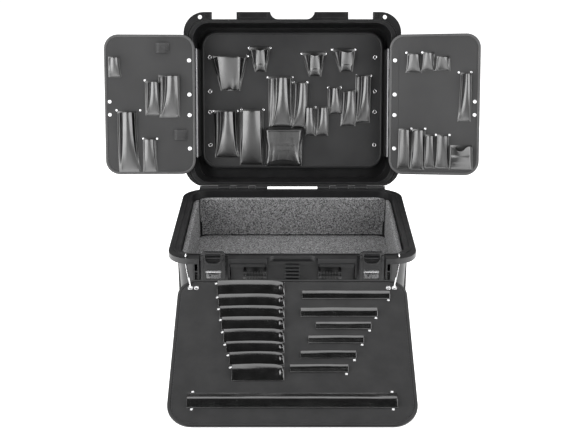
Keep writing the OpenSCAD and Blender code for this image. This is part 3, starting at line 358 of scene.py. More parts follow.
looks = {
    "case": plasticMaterial("caseMoulding", 0.4, 0.35),
    "lid": plasticMaterial("lidMoulding", 0.33, 0.25),
    "latch": plasticMaterial("latchMoulding", 0.22, 0.25),
    "leather": leatherMaterial("pouchLeather", pouchLook),
    "shadedRollLeather": leatherMaterial("shadedRollLeather", shadedRollLook),
    # The three pallet vinyls are one cloth whose tones differ as painted light and shade: the lid's board is
    # painted lighter, the wings' lighter still, and the front pallet's darker
    "board": vinylMaterial("shadedPalletVinyl", 0.011, 0.015, 0.5, 0.3),
    "litLidBoard": vinylMaterial("litLidPalletVinyl", 0.021, 0.031, 0.42, 0.3),
    "wingBoard": vinylMaterial("wingPalletVinyl", 0.034, 0.044, 0.5, 0.3),
    # The wings' edging is the same vinyl as the other edging, painted much paler as a painted highlight along
    # its rolled rim
    "wingEdging": vinylMaterial("wingEdgingVinyl", 0.07, 0.09, 0.34, 0.1),
    "edging": vinylMaterial("edgingVinyl", 0.011, 0.016, 0.36, 0.1),
    "foam": foamMaterial(foamLook),
    "hinge": hingeMaterial(hingeLook),
    "chrome": metalMaterial("rivetChrome", grey(0.86, 0.01), 0.1, 0.06),
    "zinc": metalMaterial("zincRivet", grey(0.75, 0.01), 0.5, 0.1),
    "nickel": metalMaterial("darkNickel", grey(0.5, 0.005), 0.2),
    "wire": metalMaterial("hookWire", grey(0.88, 0.01), 0.2, brush=(90, 90, 90)),
    "steel": metalMaterial("pinSteel", grey(0.6, 0.02), 0.28, brush=(900, 90, 90)),
    "release": metalMaterial("releasePlate", grey(0.82, 0.01), 0.24, brush=(1400, 120, 120)),
    "seal": rubberMaterial("sealRubber", 0.55),
    "grip": rubberMaterial("gripRubber", 0.42),
    "tape": clothMaterial("wovenTape", grey(0.035, 0.001), 2300.0),
    "thread": clothMaterial("seamThread", grey(0.03, 0.001), 5000.0),
}
print("materials made")


def dress(mesh, look):
    mesh.materials.clear()
    mesh.materials.append(looks[look])


# Looks of the nodes that are shown as they are packed; the pins and other small ones are steel
nodeLooks = {"base_shell": "case", "lid_shell": "lid", "lid_seal": "seal", "handle": "grip",
             "centre_pallet": "litLidBoard", "front_pallet": "board"}
for side in ("left", "right"):
    nodeLooks.update({side + "_latch": "latch", side + "_release": "release", side + "_wing_leaf": "hinge",
                      side + "_wing_board": "wingBoard", "wing_bracket_" + side: "hinge"})
for nodeName in nodes:
    dress(nodes[nodeName].data, nodeLooks.get(nodeName, "steel"))


# Mesh helpers: points come in millimetres
def newMesh(name, points, faces, edges=()):
    mesh = bpy.data.meshes.new(name)
    mesh.from_pydata([Vector(p) * mm for p in points], edges, faces)
    return mesh


def dressSmooth(mesh, look):
    dress(mesh, look)
    for polygon in mesh.polygons:
        polygon.use_smooth = True


def finishPiece(piece, body, replaced):
    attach(piece, body)
    if replaced:
        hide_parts(*replaced)


def gridFaces(rows, columns):
    return [(k, k + 1, k + columns + 1, k + columns)
            for i in range(rows - 1) for k in range(i * columns, (i + 1) * columns - 1)]


# Leaves the piece a plain mesh with its modifiers worked in
def applyModifiers(piece):
    graph = bpy.context.evaluated_depsgraph_get()
    mesh = bpy.data.meshes.new_from_object(piece.evaluated_get(graph))
    piece.modifiers.clear()
    old = piece.data
    piece.data = mesh
    bpy.data.meshes.remove(old)


# The mesh opened for work, with the doubled points of its seams merged
def merged(mesh, gap=2e-5, place=Matrix.Identity(4)):
    working = bmesh.new()
    working.from_mesh(mesh)
    working.transform(place)
    bmesh.ops.remove_doubles(working, verts=working.verts, dist=gap)
    return working


def outward(mesh):
    working = merged(mesh, 1e-6)
    bmesh.ops.recalc_face_normals(working, faces=working.faces)
    working.to_mesh(mesh)
    working.free()


def makePiece(name, shape, place, look, body, replaced):
    mesh = newMesh(name, *shape)
    mesh.transform(place)
    outward(mesh)
    dressSmooth(mesh, look)
    finishPiece(addObject(name, mesh), body, replaced)


# Geometry node trees for what repeats: each takes points or lines, named lengths and a material
def startTree(name, *lengths):
    tree = bpy.data.node_groups.new(name, "GeometryNodeTree")
    kinds = {"Geometry": "NodeSocketGeometry", "Material": "NodeSocketMaterial"}
    for label in ("Geometry", *lengths, "Material"):
        tree.interface.new_socket(name=label, in_out="INPUT", socket_type=kinds.get(label, "NodeSocketFloat"))
    tree.interface.new_socket(name="Geometry", in_out="OUTPUT", socket_type="NodeSocketGeometry")
    return tree, addNode(tree, "NodeGroupInput").outputs


def closeTree(tree, given, geometry):
    real = addNode(tree, "GeometryNodeRealizeInstances", {0: geometry})
    shade = addNode(tree, "GeometryNodeSetShadeSmooth", {"Geometry": real.outputs[0]})
    paint = addNode(tree, "GeometryNodeSetMaterial", {
        "Geometry": shade.outputs[0], "Material": given["Material"]})
    addNode(tree, "NodeGroupOutput", {0: paint.outputs[0]})
    return tree


def combine(tree, x, y, z):
    return addNode(tree, "ShaderNodeCombineXYZ", {"X": x, "Y": y, "Z": z}).outputs[0]


def lifted(tree, geometry, z):
    return addNode(tree, "GeometryNodeTransform", {
        "Geometry": geometry, "Translation": combine(tree, 0, 0, z)}).outputs[0]


def circleNode(tree, radius, steps):
    return addNode(tree, "GeometryNodeCurvePrimitiveCircle", {
        "Radius": radius, "Resolution": steps}).outputs["Curve"]


def swept(tree, curve, section, capped=False):
    return addNode(tree, "GeometryNodeCurveToMesh", {
        "Curve": curve, "Profile Curve": section, "Fill Caps": capped}).outputs[0]


# The parts joined and set on every point
def onPoints(tree, given, parts):
    whole = addNode(tree, "GeometryNodeJoinGeometry")
    for part in parts:
        fill(tree, whole, {0: part})
    return addNode(tree, "GeometryNodeInstanceOnPoints", {
        "Points": given["Geometry"], "Instance": whole.outputs[0]}).outputs[0]


# A domed head with a rolled rim on every point, upright in the points' own frame
def buildRivetTree():
    tree, given = startTree("rivetHeads", "Diameter", "Height", "Grip", "Shank")
    dome = addNode(tree, "GeometryNodeMeshUVSphere", {"Segments": 24, "Rings": 10, "Radius": 0.5})
    width = product(tree, given["Diameter"], 0.86)
    size = combine(tree, width, width, product(tree, given["Height"], 2.0))
    head = addNode(tree, "GeometryNodeTransform", {"Geometry": dome.outputs[0], "Scale": size}).outputs[0]
    rim = swept(tree, circleNode(tree, product(tree, given["Diameter"], 0.42), 24),
                circleNode(tree, product(tree, given["Diameter"], 0.08), 8))
    shank = addNode(tree, "GeometryNodeMeshCylinder", {
        "Vertices": 12, "Radius": given["Shank"], "Depth": given["Grip"]})
    sunk = lifted(tree, shank.outputs["Mesh"], product(tree, given["Grip"], -0.5))
    return closeTree(tree, given, onPoints(tree, given, (head, rim, sunk)))


# A rolled ring with a short neck on every point
def buildEyeletTree():
    tree, given = startTree("eyelets", "Radius", "Roll", "Depth")
    lip = swept(tree, circleNode(tree, given["Radius"], 40), circleNode(tree, given["Roll"], 14))
    back = lifted(tree, lip, product(tree, given["Depth"], -1.0))
    bore = mathNode(tree, "SUBTRACT", given["Radius"], product(tree, given["Roll"], 0.6))
    wall = addNode(tree, "GeometryNodeMeshCylinder", {
        "Vertices": 40, "Radius": bore, "Depth": given["Depth"]}, fill_type="NONE")
    sunk = lifted(tree, wall.outputs["Mesh"], product(tree, given["Depth"], -0.5))
    return closeTree(tree, given, onPoints(tree, given, (lip, back, sunk)))


# Short thread beads along every edge of the given lines
def buildStitchTree():
    tree, given = startTree("stitchRun", "Pitch", "Length", "Width")
    line = addNode(tree, "GeometryNodeMeshToCurve", {0: given["Geometry"]})
    even = addNode(tree, "GeometryNodeResampleCurve", {
        "Curve": line.outputs[0], "Length": given["Pitch"]}, mode="LENGTH")
    bead = addNode(tree, "GeometryNodeMeshUVSphere", {"Segments": 6, "Rings": 4, "Radius": 0.5})
    size = combine(tree, given["Width"], product(tree, given["Width"], 0.9), given["Length"])
    tangent = addNode(tree, "GeometryNodeInputTangent").outputs[0]
    turn = addNode(tree, "FunctionNodeAlignRotationToVector", {"Vector": tangent}, axis="Z")
    beads = addNode(tree, "GeometryNodeInstanceOnPoints", {
        "Points": even.outputs[0], "Instance": bead.outputs[0], "Rotation": turn.outputs[0], "Scale": size})
    return closeTree(tree, given, beads.outputs[0])


# A round bar along the given line, with its corners bent to a radius
def buildWireTree():
    tree, given = startTree("bentWire", "Radius", "Bend")
    line = addNode(tree, "GeometryNodeMeshToCurve", {0: given["Geometry"]})
    bend = addNode(tree, "GeometryNodeFilletCurve", {
        "Curve": line.outputs[0], "Count": 8, "Limit Radius": True, "Radius": given["Bend"]}, mode="POLY")
    bar = swept(tree, bend.outputs[0], circleNode(tree, given["Radius"], 16), True)
    return closeTree(tree, given, bar)


rivetTree, eyeletTree = buildRivetTree(), buildEyeletTree()
stitchTree, wireTree = buildStitchTree(), buildWireTree()


# Runs a tree on points in a local frame and leaves a plain mesh in the frame of the case
def treePiece(name, points, edges, tree, lengths, look, place, body, replaced):
    piece = addObject(name, newMesh(name, points, [], edges))
    modifier = piece.modifiers.new("run", "NODES")
    modifier.node_group = tree
    values = {"Material": looks[look], **{label: length * mm for label, length in lengths.items()}}
    for item in tree.interface.items_tree:
        if item.item_type == "SOCKET" and item.in_out == "INPUT" and item.name in values:
            modifier[item.identifier] = values[item.name]
    bpy.context.view_layer.update()
    applyModifiers(piece)
    piece.data.transform(place)
    finishPiece(piece, body, replaced)


print("trees made")


# Pouches
# z is measured from the board's face, x across and y up, all in millimetres
leatherForm = {
    "rows": 20, "gussetSteps": 10, "panelSteps": 11, "wall": 1.1, "footHeight": 2.6, "rise": 0.72,
    "flarePower": 3.0, "flareSteady": 0.12, "footGussets": (0.8, 0.8), "bulge": 0.3, "wrinkle": 0.25,
    "wrinkleSize": (15.0, 45.0), "bead": 0.5, "beadWidth": 1.3, "ridge": 3.2, "ridgeWidth": 1.7, "tab": 1.6,
    "band": 1.0, "footRoll": 1.0, "notchWidth": 0.09, "apron": 2.4, "gussetDrop": 3.0, "back": 1.2,
    "backRise": 3.0, "backMargin": 1.6, "backEdge": 0.4, "backFrom": 0.1, "archLift": 1.5}
# Height of a folded gusset from its outer edge to the panel's crease, as parts of the crease's height
gussetCurve = ((0.0, 0.05), (0.16, 0.46), (0.34, 0.66), (0.52, 0.42), (0.72, 0.12), (0.86, 0.3), (1.0, 1.0))


def wrinkleAt(x, y, seed):
    wide, long = leatherForm["wrinkleSize"]
    slow = noise.noise(Vector((x / wide, y / long, seed)))
    sharp = 1 - abs(noise.noise(Vector((x / (wide * 1.5), y / long, seed + 7.3)))) * 2
    return 0.9 * slow + 0.1 * max(0.0, sharp) ** 3


# Height on a curve given as places and heights
def alongCurve(curve, t, eased=False):
    for (a, low), (b, high) in zip(curve, curve[1:]):
        if t <= b:
            part = (t - a) / (b - a)
            return mix(low, high, smooth(part) if eased else part)
    return curve[-1][1]


# Wide gussets are folded and narrow ones rise in one slope
def gussetHeight(t, width):
    return mix(t ** 2.2, alongCurve(gussetCurve, t, True), smooth((width - 2) / 6))


# Columns over the sheet: apron, gusset, panel, gusset, apron, each as its zone and the place in it
def pouchColumns():
    steps, panels = leatherForm["gussetSteps"], leatherForm["panelSteps"]
    gusset = [i / steps for i in range(steps + 1)]
    panel = [0.02, *(i / panels for i in range(1, panels)), 0.98]
    return [("left", -1.0), *(("left", t) for t in gusset), *(("panel", t) for t in panel),
            *(("right", 1 - t) for t in gusset), ("right", -1.0)]


# Side edges of the panel, widths of the gussets and how far both are spread at height u
def pouchEdges(p, u):
    steady = leatherForm["flareSteady"]
    spread = 1 - u
    if not p.get("straight"):
        spread = (1 - steady) * spread ** leatherForm["flarePower"] + steady * spread
    low = p.get("footGussets", leatherForm["footGussets"])
    edges = [mix(p["mouth"][i], p["foot"][i], spread) for i in (0, 1)]
    return edges, [mix(p["gussets"][i], low[i], spread) for i in (0, 1)], spread


def pouchPoint(p, zone, t, u, seed):
    f, depth = leatherForm, p["depth"]
    edges, gussets, spread = pouchEdges(p, u)
    crease = mix(f["footHeight"], f["rise"] * depth, u ** 0.8)
    y = mix(p["low"], p["top"], u)
    near = min(t, 1 - t)
    if zone == "panel":
        x = mix(*edges, t)
        middle = 1 - (2 * t - 1) ** 2
        z = crease + f["bulge"] * depth * middle * u ** 0.7
        z += f["bead"] * math.exp(-(near * (edges[1] - edges[0]) / f["beadWidth"]) ** 2)
        y -= p.get("scoop", 0) * u ** 4 * middle
        z += wrinkleAt(x, y, seed) * f["wrinkle"] * 0.7 * smooth(u * 5)
        if "tab" in p:
            z += f["tab"] * smooth((p["tab"] - y + p["low"]) / 2) * smooth(near * 12)
        if "band" in p:
            z += f["band"] * smooth((y - p["band"][0]) / 2 + 0.5) * smooth((p["band"][1] - y) / 2 + 0.5)
        for mouth, foot in p.get("ridges", ()):
            away = (x - mix(mouth, foot, spread)) / f["ridgeWidth"]
            z += f["ridge"] * math.exp(-away ** 2) * smooth(u * 4)
        if "notch" in p:
            y += p["notch"] * math.exp(-((t - 0.5) / f["notchWidth"]) ** 2) * (1 - u) ** 6
        z += f["footRoll"] * smooth(1 - u / 0.1) * smooth(1 - near / 0.22)
        if "thumb" in p:
            y -= p["thumb"] * u ** 6 * math.exp(-((x - p["thumbAt"]) / p["thumb"]) ** 4)
        return x, y, z
    side, out = (0, -1) if zone == "left" else (1, 1)
    if t < 0:
        return edges[side] + out * (gussets[side] + f["apron"]), y - f["gussetDrop"] * u ** 3, 0.5
    x = edges[side] + out * gussets[side] * (1 - t)
    z = f["wall"] + (crease - f["wall"]) * gussetHeight(t, gussets[side])
    z += wrinkleAt(x, y, seed + 3) * f["wrinkle"] * smooth(near * 5) * smooth(u * 6)
    return x, y - f["gussetDrop"] * u ** 3 * (1 - t), max(z, 0.6)


def pouchSheet(p, seed):
    rows, columns = leatherForm["rows"], pouchColumns()
    points = []
    for y, z in ((p["low"] - leatherForm["apron"], 0.5), (p["low"] - 0.5, 1.0)):
        for zone, t in columns:
            foot = pouchPoint(p, zone, t, 0, seed)
            points.append((foot[0], y + (foot[1] - p["low"] if zone == "panel" else 0), z))
    for i in range(rows + 1):
        points += [pouchPoint(p, zone, t, i / rows, seed) for zone, t in columns]
    points += [(x, y + 0.5, z - 0.5 if zone == "panel" else z)
               for (x, y, z), (zone, t) in zip(points[-len(columns):], columns)]
    return points, gridFaces(rows + 4, len(columns))


def pouchBack(p):
    back, margin, base = [leatherForm[key] for key in ("back", "backMargin", "backFrom")]
    rings = []
    for i in range(9):
        (left, right), gussets = pouchEdges(p, i / 8)[:2]
        left -= gussets[0] + margin
        right += gussets[1] + margin
        y = mix(p["low"] - margin, p["top"] + leatherForm["backRise"], i / 8)
        rings.append([(left, y, base), (right, y, base), (right, y, back), (left, y, back)])
    middle, half = (left + right) / 2, (right - left) / 2
    for i in range(1, 7 if "arch" in p else 1):
        a = math.pi / 12 * i
        reach, z = half * max(0.2, math.cos(a)), back + leatherForm["archLift"] * math.sin(a)
        rings.append([(middle + w * reach, y + p["arch"] * math.sin(a), h)
                      for w, h in ((-1, base), (1, base), (1, z), (-1, z))])
    return loft(rings)


def loft(rings, closed=False):
    n = len(rings[0])
    points = [p for ring in rings for p in ring]
    faces = []
    for i in range(len(rings) if closed else len(rings) - 1):
        a, b = i * n, ((i + 1) % len(rings)) * n
        for j in range(n):
            k = (j + 1) % n
            faces.append((a + j, a + k, b + k, b + j))
    if not closed:
        faces.append(tuple(range(n - 1, -1, -1)))
        faces.append(tuple((len(rings) - 1) * n + j for j in range(n)))
    return points, faces


def joined(parts):
    points, faces = [], []
    for somePoints, someFaces in parts:
        start = len(points)
        points += somePoints
        faces += [tuple(i + start for i in face) for face in someFaces]
    return points, faces


# Open leather sheets get a wall and are smoothed, then join the solid layers behind them
def leatherPiece(nodeName, sheets, solids, place, body, look="leather"):
    name = nodeName + "_leather"
    whole = bmesh.new()
    for kind, parts in (("sheet", sheets), ("solid", solids)):
        mesh = newMesh(name + "Work", *joined(parts))
        work = addObject(name + "Work", mesh)
        if kind == "sheet":
            work.modifiers.new("wall", "SOLIDIFY").thickness = leatherForm["wall"] * mm
            work.modifiers.new("smoother", "SUBSURF").levels = 1
        else:
            outward(mesh)
            edge = work.modifiers.new("edge", "BEVEL")
            edge.width, edge.segments = leatherForm["backEdge"] * mm, 2
        applyModifiers(work)
        whole.from_mesh(work.data)
        bpy.data.objects.remove(work)
    mesh = bpy.data.meshes.new(name)
    whole.to_mesh(mesh)
    whole.free()
    mesh.transform(place)
    dressSmooth(mesh, look)
    finishPiece(addObject(name, mesh), body, [nodeName])


def pouch(mouth, foot, low, top, gussets, depth, **more):
    return {"mouth": mouth, "foot": foot, "low": low, "top": top, "gussets": gussets, "depth": depth, **more}


holsterForm = {"scoop": 4, "tab": 17, "arch": 5, "straight": True}
centrePouches = {
    "fan_pouch": [
        pouch((-184, -125), (-173, -131), 238, 318, (10, 14), 24, ridges=((-137, -142), (-131, -138)),
              notch=5, straight=True)],
    "plier_holsters": [
        pouch((-90, -67), (-89, -66.5), 284, 337, (15, 11), 22, **holsterForm),
        pouch((43, 66), (43, 68), 273, 324, (18, 14), 22, **holsterForm),
        pouch((119, 150), (118.5, 145), 284, 332, (19, 1.5), 22, **holsterForm)],
    "double_pouches": [
        pouch((-33, -12.5), (-49.5, -2), 150, 268, (24, 12), 20, footGussets=(7, 0.8)),
        pouch((18, 34), (0.5, 28), 147, 255, (14, 1), 18)],
    "short_pouches": [
        pouch((34, 49), (33, 54.5), 128, 195, (1.5, 6), 15),
        pouch((70, 84.5), (60, 85.5), 128, 195, (10, 2), 15)],
    "stepped_pouches": [
        pouch((98, 112), (92, 119.5), 181, 243, (10, 6), 16),
        pouch((135, 152.5), (120.5, 152.5), 152, 235, (13, 1), 16),
        pouch((174, 189), (157, 188), 160, 272, (18, 1), 18)],
    "wide_pouches": [
        pouch((-171, -145), (-188, -135), 75, 186, (20, 8), 24, footGussets=(1, 4)),
        pouch((-122, -78), (-127, -75), 57, 188, (5, 5), 26)]}
leftPouches = {
    "left_wing_pouches": [
        pouch((-202.5, -186.5), (-206, -181), 270, 314, (5, 2), 13),
        pouch((-108, -93), (-120, -88), 179, 257, (13, 1), 16),
        pouch((-69, -44), (-86, -42.5), 174, 271, (20, 1), 20),
        pouch((-176, -153), (-184, -137), 43, 185, (12, 8), 22),
        pouch((-125, -104), (-128, -97), 43, 120, (3, 4), 16)]}
rightPouches = {
    "right_top_pouches": [
        pouch((52, 74), (45, 79), 280, 321, (4, 3), 16),
        pouch((88, 105), (82, 109), 284, 324, (2, 5), 15),
        pouch((121, 141), (115, 146), 284, 314, (3, 5), 15)],
    "right_long_pouch": [pouch((184, 196), (169.5, 195.5), 165, 275, (10, 1), 16)],
    "right_lower_pouches": [
        pouch((32, 54), (27.5, 54), 52, 143, (3, 1.5), 17),
        pouch((66, 87), (57, 87), 49, 142, (5, 2.5), 17),
        pouch((95, 111), (90, 114.5), 53, 129, (3, 2.5), 14),
        pouch((123, 144), (118, 146), 53, 129, (1.5, 1.5), 14)],
    "right_holster": [
        pouch((154, 200), (152, 202), 51, 105, (1.5, 1.5), 22, thumb=12, thumbAt=177, band=(65, 81))]}

# The last two numbers of a row set apart the wrinkles of its pouches
for pouches, place, body, step, first in ((centrePouches, centreFace, "lid", 3.7, 0),
                                          (leftPouches, leftFace, "left_wing", 2.9, 23),
                                          (rightPouches, rightFace, "right_wing", 3.1, 60)):
    for nodeName, forms in pouches.items():
        leatherPiece(nodeName, [pouchSheet(p, i * step + len(nodeName) + first) for i, p in enumerate(forms)],
                     [pouchBack(p) for p in forms], place, body)

flapForm = {"body": pouch((-60, 20), (-64, 20), 53, 139, (2, 2), 25), "rows": 34, "columns": 33, "top": 141.5,
            "turn": 0.2, "turnRise": 2.5, "stand": 1.3, "groove": 0.4, "grooveWidth": 0.9, "wrinkle": 0.4,
            # height on the board and the two side edges there
            "sides": ((141.5, -68, 26), (126, -67, 25), (102, -63.5, 21), (80, -64.5, 19.5), (54, -68, 23)),
            "hem": (52.5, 67), "lines": (122, 106, 89), "seams": (-36, -12)}


def flapEdges(p, y):
    sides = p["sides"]
    for (high, leftA, rightA), (low, leftB, rightB) in zip(sides, sides[1:]):
        if y >= low:
            t = smooth((high - y) / (high - low))
            return mix(leftA, leftB, t), mix(rightA, rightB, t)
    return sides[-1][1:]


# The flap comes off the board above the mouth, turns over it and hangs to the foot with an arched hem
def flapSheet(p):
    body, f = p["body"], leatherForm
    depth = body["depth"]
    points = []
    for i in range(p["rows"]):
        v = i / (p["rows"] - 1)
        for j in range(p["columns"]):
            t = j / (p["columns"] - 1)
            middle, near = 1 - (2 * t - 1) ** 2, min(t, 1 - t)
            if v < p["turn"]:
                a = v / p["turn"]
                x = mix(*p["sides"][0][1:], t)
                y = p["top"] + p["turnRise"] * (1 - a + math.sin(a * math.pi))
                z = mix(1.2, depth * 0.98, a ** 1.2)
            else:
                a = (v - p["turn"]) / (1 - p["turn"])
                y = mix(p["top"], mix(*p["hem"], middle ** 0.8), a)
                x = mix(*flapEdges(p, y), t)
                u = max(0, (y - body["low"]) / (body["top"] - body["low"]))
                z = mix(f["footHeight"], f["rise"] * depth, min(1, u) ** 0.8)
                z += f["bulge"] * depth * mix(0.5, 1, middle) + p["stand"]
                # a fold that slants to the lower right, and a sharp one along the left edge
                z += 2.4 * (1 - u) * math.exp(-((t - 0.72 - 0.2 * a ** 2) / 0.07) ** 2) * smooth(a * 3)
                sharp = 2.0 * math.exp(-((t - 0.1) / 0.035) ** 2) - 1.2 * math.exp(-((t - 0.17) / 0.05) ** 2)
                z += sharp * smooth((a - 0.3) * 3)
            z -= (z - 1.8) * max(0, 1 - near / 0.06) ** 2 * 0.85
            z += p["wrinkle"] * wrinkleAt(x, y, 91)
            inside = p["groove"] * smooth((near - 0.12) * 12)
            for line in p["lines"]:
                z -= math.exp(-((y - line) / p["grooveWidth"]) ** 2) * inside
            for line in p["seams"]:
                z -= math.exp(-((x - line) / p["grooveWidth"]) ** 2) * smooth((a - 0.05) * 9) * inside
            points.append((x, y, z))
    return points, [face[::-1] for face in gridFaces(p["rows"], p["columns"])]


leatherPiece("flap_pouch", [pouchSheet(flapForm["body"], 77), flapSheet(flapForm)],
             [pouchBack(flapForm["body"])], centreFace, "lid")
print("lid pouches made")


# Side pouches of the front pallet: x along the board, y up it
tubeForm = {"rows": 48, "columns": 25, "flange": 0.15, "ramp": 0.8, "uneven": 0.7, "pit": 13, "pitAt": 0.945,
            "pitLong": 2.6, "pitWide": 0.34, "tuck": 14, "tuckLong": 5, "backMargin": 0.2}
# Height across a tube from its lower seam to its upper one. The drivers' tubes have a broad back and the
# rolls a longer slope below it; the sleeve is highest in the middle and falls to a low upper edge
roundBack = ((-1, 0.0), (-0.3, 0.86), (-0.12, 0.95), (0.2, 1.0), (0.8, 0.97), (0.92, 0.85), (1, 0.0))
slopedBack = ((-1, 0.0), (-0.15, 0.76), (0.05, 0.89), (0.25, 0.96), (0.5, 1.0), (0.8, 0.98), (0.92, 0.85),
              (1, 0.0))
sleeveBack = ((-1, 0.0), (-0.5, 0.7), (-0.34, 0.88), (-0.14, 1.0), (0.08, 0.98), (0.24, 0.88), (0.88, 0.42),
              (1, 0.38))


def tubeSheet(p, seed):
    f = tubeForm
    rows, columns = f["rows"], f["columns"]
    low, high = -p["span"][1], -p["span"][0]
    length = p["ends"][1] - p["ends"][0]
    middle, half = (low + high) / 2, (high - low) / 2 - 1
    points = []
    for j in range(columns + 2):
        w = (j - 1) / (columns - 1) * 2 - 1
        for i in range(rows + 1):
            u = i / rows if i > 4 else i * 0.25 / length
            x = mix(*p["ends"], u)
            if j in (0, columns + 1):
                side = -1 if j == 0 else 1
                points.append((x, middle + side * (half + f["flange"]), 0.5))
                continue
            closed = 1.0 if p.get("open") else smooth((u * length + 0.4) / f["ramp"])
            mouth = smooth((u - 0.8) / 0.2)
            slid = max(-1, min(1, w + p["sag"] * mouth * (1 - w * w)))
            arch = alongCurve(p["curve"], slid)
            y = middle + w * half * (1 - p["neck"] * 0.3 * mouth) + p["bow"] * math.sin(u * math.pi) * arch
            z = 1.0 + (p["depth"] * 0.93 - 1) * arch * mix(0.1, 1, closed)
            z += noise.noise(Vector((x / 50, y / 14, seed))) * f["uneven"] * arch
            pit = ((u - f["pitAt"]) * length / f["pitLong"]) ** 2 + ((w + 0.3) / f["pitWide"]) ** 2
            z -= p["neck"] * f["pit"] * math.exp(-pit) * arch
            z -= p["neck"] * f["tuck"] * max(0, 1 - (1 - u) * length / f["tuckLong"]) ** 2 * arch
            points.append((x, y, z))
    return points, gridFaces(columns + 2, rows + 1)


def tubeBack(p):
    low, high = -p["span"][1] - tubeForm["backMargin"], -p["span"][0] + tubeForm["backMargin"]
    a, b = p["ends"]
    ring = ((low, 0.1), (high, 0.1), (high, 0.9), (low, 0.9))
    return loft([[(x, y, z) for y, z in ring] for x in (a, mix(a, b, 0.5), b)])


rollForm = {"depth": 12, "curve": slopedBack, "neck": 0.35, "bow": 2.0, "sag": 0.35}
rollRow = {"seams": (7, 43, 73, 100, 130, 160, 185, 213, 248), "right": -15,
           "lefts": (-150, -146, -142, -137, -132, -126, -119, -113)}
driverForm = {"depth": 8, "curve": roundBack, "neck": 0.0, "bow": 0.6, "sag": -0.1}
driverRow = ((19, 194, 32, 51), (16, 167, 75, 96), (45, 153, 111, 127), (30, 137, 144, 161),
             (15, 121, 180, 197), (-5, 105, 212, 229))
sleeve = {"ends": (-192, 192), "span": (275, 307), "depth": 11, "curve": sleeveBack, "neck": 0.0, "bow": 0.0,
          "sag": 0.0, "open": True}
rolls = [dict(rollForm, ends=(left, rollRow["right"]), span=(low + 0.6, high - 0.6))
         for left, low, high in zip(rollRow["lefts"], rollRow["seams"], rollRow["seams"][1:])]
drivers = [dict(driverForm, ends=(left, right), span=(low + 0.5, high - 0.5))
           for left, right, low, high in driverRow]
# the front pallet's pouches take the leather darkened as painted shade
for nodeName, tubes in (("roll_pouches", rolls), ("driver_pouches", drivers), ("level_pouch", [sleeve])):
    leatherPiece(nodeName, [tubeSheet(p, i * 1.7 + 11) for i, p in enumerate(tubes)],
                 [tubeBack(p) for p in tubes], frontFace, "front_pallet", "shadedRollLeather")
print("front pouches made")


# Edge bindings: a rolled strip round each board, with a run of stitches inside it
bindingForm = {"cornerSteps": 10, "section": (
    (1.0, -4.0), (0.35, -3.8), (0.0, -3.0), (0.0, -0.6), (0.25, 0.3), (1.0, 0.95), (2.4, 1.3), (4.2, 1.3),
    (5.5, 0.95), (6.0, 0.35), (6.0, 0.02), (1.0, 0.02))}
stitchLine = {"cornerSteps": 8, "section": ((7.6, 0.15),)}
stitchForm = {"Pitch": 3.4, "Length": 2.3, "Width": 0.7}
# left, right, low and high edge of each board and the radii of its low and high corners
boardBoxes = {
    "centre": ((-222, 222, 47, 379, 37, 37), centreFace, "lid"),
    "left_wing": ((-219, -3.5, 36, 369, 34, 34), leftFace, "left_wing"),
    "right_wing": ((3.5, 219, 36, 369, 34, 34), rightFace, "right_wing"),
    "front": ((-228.5, 228.5, -346, 0, 48, 40), frontFace, "front_pallet")}


# A section set round a rounded rectangle, each of its points as an inset and a height
def ringsRound(box, p):
    x0, x1, y0, y1, low, high = box
    rings = []
    for x, y, r, start in ((x1 - low, y0 + low, low, -90), (x1 - high, y1 - high, high, 0),
                           (x0 + high, y1 - high, high, 90), (x0 + low, y0 + low, low, 180)):
        for i in range(p["cornerSteps"] + 1):
            a = math.radians(start + 90 * i / p["cornerSteps"])
            rings.append([(x + (r - d) * math.cos(a), y + (r - d) * math.sin(a), z) for d, z in p["section"]])
    return rings


for key, (box, place, body) in boardBoxes.items():
    # the wings take the edging painted pale as a highlight
    makePiece(key + "_edging", loft(ringsRound(box, bindingForm), True), place,
              "wingEdging" if "wing" in key else "edging", body, [key + "_binding"])
    run = [ring[0] for ring in ringsRound(box, stitchLine)]
    treePiece(key + "_edge_stitches", run, [(i, (i + 1) % len(run)) for i in range(len(run))], stitchTree,
              stitchForm, "thread", place, body, ())
print("bindings made")


# Rivets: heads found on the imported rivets, as the low and high corner of each in the given frame
def islandsOf(nodeName, place):
    working = merged(nodes[nodeName].data, place=place.inverted() @ nodes[nodeName].matrix_world)
    left = set(working.verts)
    boxes = []
    while left:
        queue = [left.pop()]
        group = list(queue)
        while queue:
            for edge in queue.pop().link_edges:
                found = left.intersection(edge.verts)
                left -= found
                queue += found
                group += found
        boxes.append([[end(v.co[k] for v in group) / mm for k in range(3)] for end in (min, max)])
    working.free()
    return sorted(boxes)


# A cupped rivet has an open rolled rim with a flat floor, a domed one a low round head
cupped = {"crown": 0.02, "shank": 0.42}
domed = {"crown": 0.12, "shank": 0.21}


def rivetPieces(nodeName, place, body, kind, look):
    sizes = {}
    for low, high in islandsOf(nodeName, place):
        diameter = round(high[0] - low[0], 1)
        height = min(high[2], diameter * domed["crown"])
        sizes.setdefault((diameter, round(low[2], 1)), []).append(
            ((low[0] + high[0]) / 2, (low[1] + high[1]) / 2, high[2] - height))
    for i, ((diameter, low), places) in enumerate(sizes.items()):
        lengths = {"Diameter": diameter, "Height": diameter * kind["crown"], "Grip": max(0.5, -low),
                   "Shank": diameter * kind["shank"]}
        treePiece(f"{nodeName}_heads{i}", places, [], rivetTree, lengths, look, place, body,
                  [nodeName] if i == 0 else ())


for nodeName, place, body, kind, look in (
        ("pallet_rivets", centreFace, "lid", cupped, "chrome"),
        ("centre_pouch_rivets", centreFace, "lid", domed, "chrome"),
        ("left_wing_rivets", leftFace, "left_wing", domed, "zinc"),
        ("right_wing_rivets", rightFace, "right_wing", domed, "zinc"),
        ("front_rivets", frontFace, "front_pallet", cupped, "nickel")):
    rivetPieces(nodeName, place, body, kind, look)

